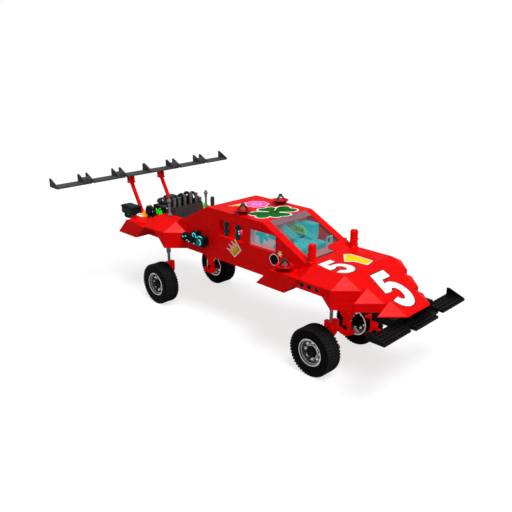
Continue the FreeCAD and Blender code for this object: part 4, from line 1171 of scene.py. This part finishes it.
glint_sheet = finish("painted_glint_cyan", (0.0, 0.48, 0.52), 0.3, alpha=0.5, glow=0.4)
panel_green = finish("panel_green", (0.06, 0.21, 0.055), 0.4, glow=0.6)
panel_blue = finish("panel_blue", (0.01, 0.03, 0.12), 0.4, glow=0.5)
band = finish("clear_band", (0.28, 0.15, 0.17), 0.3, alpha=0.75, glow=0.1)
FENCE = Plane(at(0, -1, 0), (1, 0, 0), (0, 0, 1))
MIDDLE = Plane(at(0, 1, 0), (1, 0, 0), (0, 0, 1))
GLINT_OUTLINE = [[(17.6, 13.7), (17.6, 12.7), (21.4, 11.5), (21.6, 11.7)]]
PANEL_RIM = [[(17.6, 12.2), (19.45, 12.2), (19.2, 12.95), (17.6, 13.1)]]
PANEL_FACE = [[(17.75, 12.35), (19.25, 12.3), (19.1, 12.8), (17.75, 12.95)]]
PANEL_DOTS = [circle(spot, 0.09, 12) for spot in ((18.1, 12.6), (18.5, 12.5), (18.9, 12.55))]
SCREEN_BAND = [[(0.03, -2.95), (0.85, -2.95), (0.85, 2.95), (0.03, 2.95)]]
CABIN_FRAME = [
    [(21.35, 2.7, 11.3), (21.55, 2.95, 12.1)],
    [(21.35, 2.0, 12.0), (21.5, 2.95, 12.12)],
    [(21.35, 2.0, 11.3), (21.5, 2.1, 12.1)],
]
print_on("glint_near", FENCE, GLINT_OUTLINE, 0.5, glint_sheet)
print_on("glint_far", MIDDLE, GLINT_OUTLINE, 0.5, glint_sheet)
print_on("panel_rim", MIDDLE, PANEL_RIM, 0.9, lime, low=0.6)
print_on("panel_face", MIDDLE, PANEL_FACE, 1.1, panel_green, low=0.9)
print_on("panel_dots", MIDDLE, PANEL_DOTS, 1.3, panel_blue, low=1.1)
print_on("screen_band", SCREEN, SCREEN_BAND, 0.03, band)
blocks("cabin_frame", CABIN_FRAME, cyan)

# Front wing: rows of low round studs on its three plates, and webs between the plates

WING_PLATES = [(-7.2, -2.9, 7.5), (2.9, 7.2, 7.5), (-2.0, 2.0, 7.3)]
WING_STEP = 0.5
bm = bmesh.new()
for low, high, z in WING_PLATES:
    count = round((high - low) / WING_STEP)
    for i in range(count):
        y = low + (i + 0.5) * (high - low) / count
        for k in range(4):
            spot = at(33.75 + WING_STEP * k, y, z)
            tube(bm, spot, spot + raised(0.1), 0.16, sides=14)
piece("front_wing_studs", bm, black, smooth=False)
blocks("front_wing_webs", both_sides([[(33.5, 1.95, 7.1), (34.95, 2.95, 7.32)]]), black)

# Underside: the round sockets of the lowest plates

bm = bmesh.new()
for i in range(12):
    for k in range(7):
        ring(bm, at(5.5 + i, k - 3, SILL), UP, 0.36, 0.05, steps=24, sides=6)
piece("underside_rings", bm, red)

# Camera, as the fit of the grid to the photograph gives it

FORWARD = Vector((-0.66697, 0.66590, -0.33425))
FOCAL_PIXELS = 615.1
PHOTO_PIXELS = 512
SENSOR = 36
camera = placed("camera", bpy.data.cameras.new("camera"))
camera.location = at(61.332, -48.741, 32.647)
camera.rotation_mode = "QUATERNION"
camera.rotation_quaternion = FORWARD.to_track_quat("-Z", "Y")
camera.data.sensor_width = SENSOR
camera.data.lens = FOCAL_PIXELS / PHOTO_PIXELS * SENSOR
camera.data.clip_start = 0.01
scene.camera = camera
scene.view_settings.view_transform = "Standard"


def seen_rays(tree):
    """One on the rays that the picture is seen by, straight or through glass, else none."""
    rays = tree.nodes.new("ShaderNodeLightPath")
    return maths(tree, "MAXIMUM", rays.outputs["Is Camera Ray"], rays.outputs["Is Transmission Ray"])


# Floor: white to the eye, and darker in the light that it throws back

REACH = 30.0
FLOOR_BRIGHTNESS = 0.74
floor_mesh = bpy.data.meshes.new("floor")
corners = [(-REACH, -REACH, 0), (REACH, -REACH, 0), (REACH, REACH, 0), (-REACH, REACH, 0)]
floor_mesh.from_pydata(corners, [], [(0, 1, 2, 3)])
floor = placed("floor", floor_mesh)
floor.location.z = -0.0001
floor_white = bpy.data.materials.new("floor_white")
floor_white.use_nodes = True
tree = floor_white.node_tree
surface = {
    "Base Color": (0.30, 0.30, 0.30, 1),
    "Roughness": 0.9,
    "Specular IOR Level": 0.0,
    "Emission Color": (1, 1, 1, 1),
    "Emission Strength": maths(tree, "MULTIPLY", seen_rays(tree), FLOOR_BRIGHTNESS),
}
feed(tree, tree.nodes["Principled BSDF"], surface)
floor_mesh.materials.append(floor_white)

# World: white to the eye, and weaker as a light

WORLD_LIGHT = 0.31
world = bpy.data.worlds.new("studio")
scene.world = world
world.use_nodes = True
tree = world.node_tree
strength = ranged(tree, seen_rays(tree), 0.0, 1.0, WORLD_LIGHT, 1.0)
feed(tree, tree.nodes["Background"], {"Color": (1, 1, 1, 1), "Strength": strength})

# Lamps: a soft key light, and a gleam from above that shows only in glossy surfaces


def sun(name, way, strength, angle):
    """A far lamp that shines from a direction."""
    data = bpy.data.lights.new(name, "SUN")
    data.energy = strength
    data.angle = math.radians(angle)
    thing = placed(name, data)
    thing.rotation_mode = "QUATERNION"
    thing.rotation_quaternion = Vector([-c for c in way]).to_track_quat("-Z", "Y")
    return thing


sun("key", (0.44, -0.17, 0.88), 2.75, 25)
gleam = sun("gleam", (0.0, -0.02, 1.0), 3.5, 15)
gleam.visible_diffuse = False
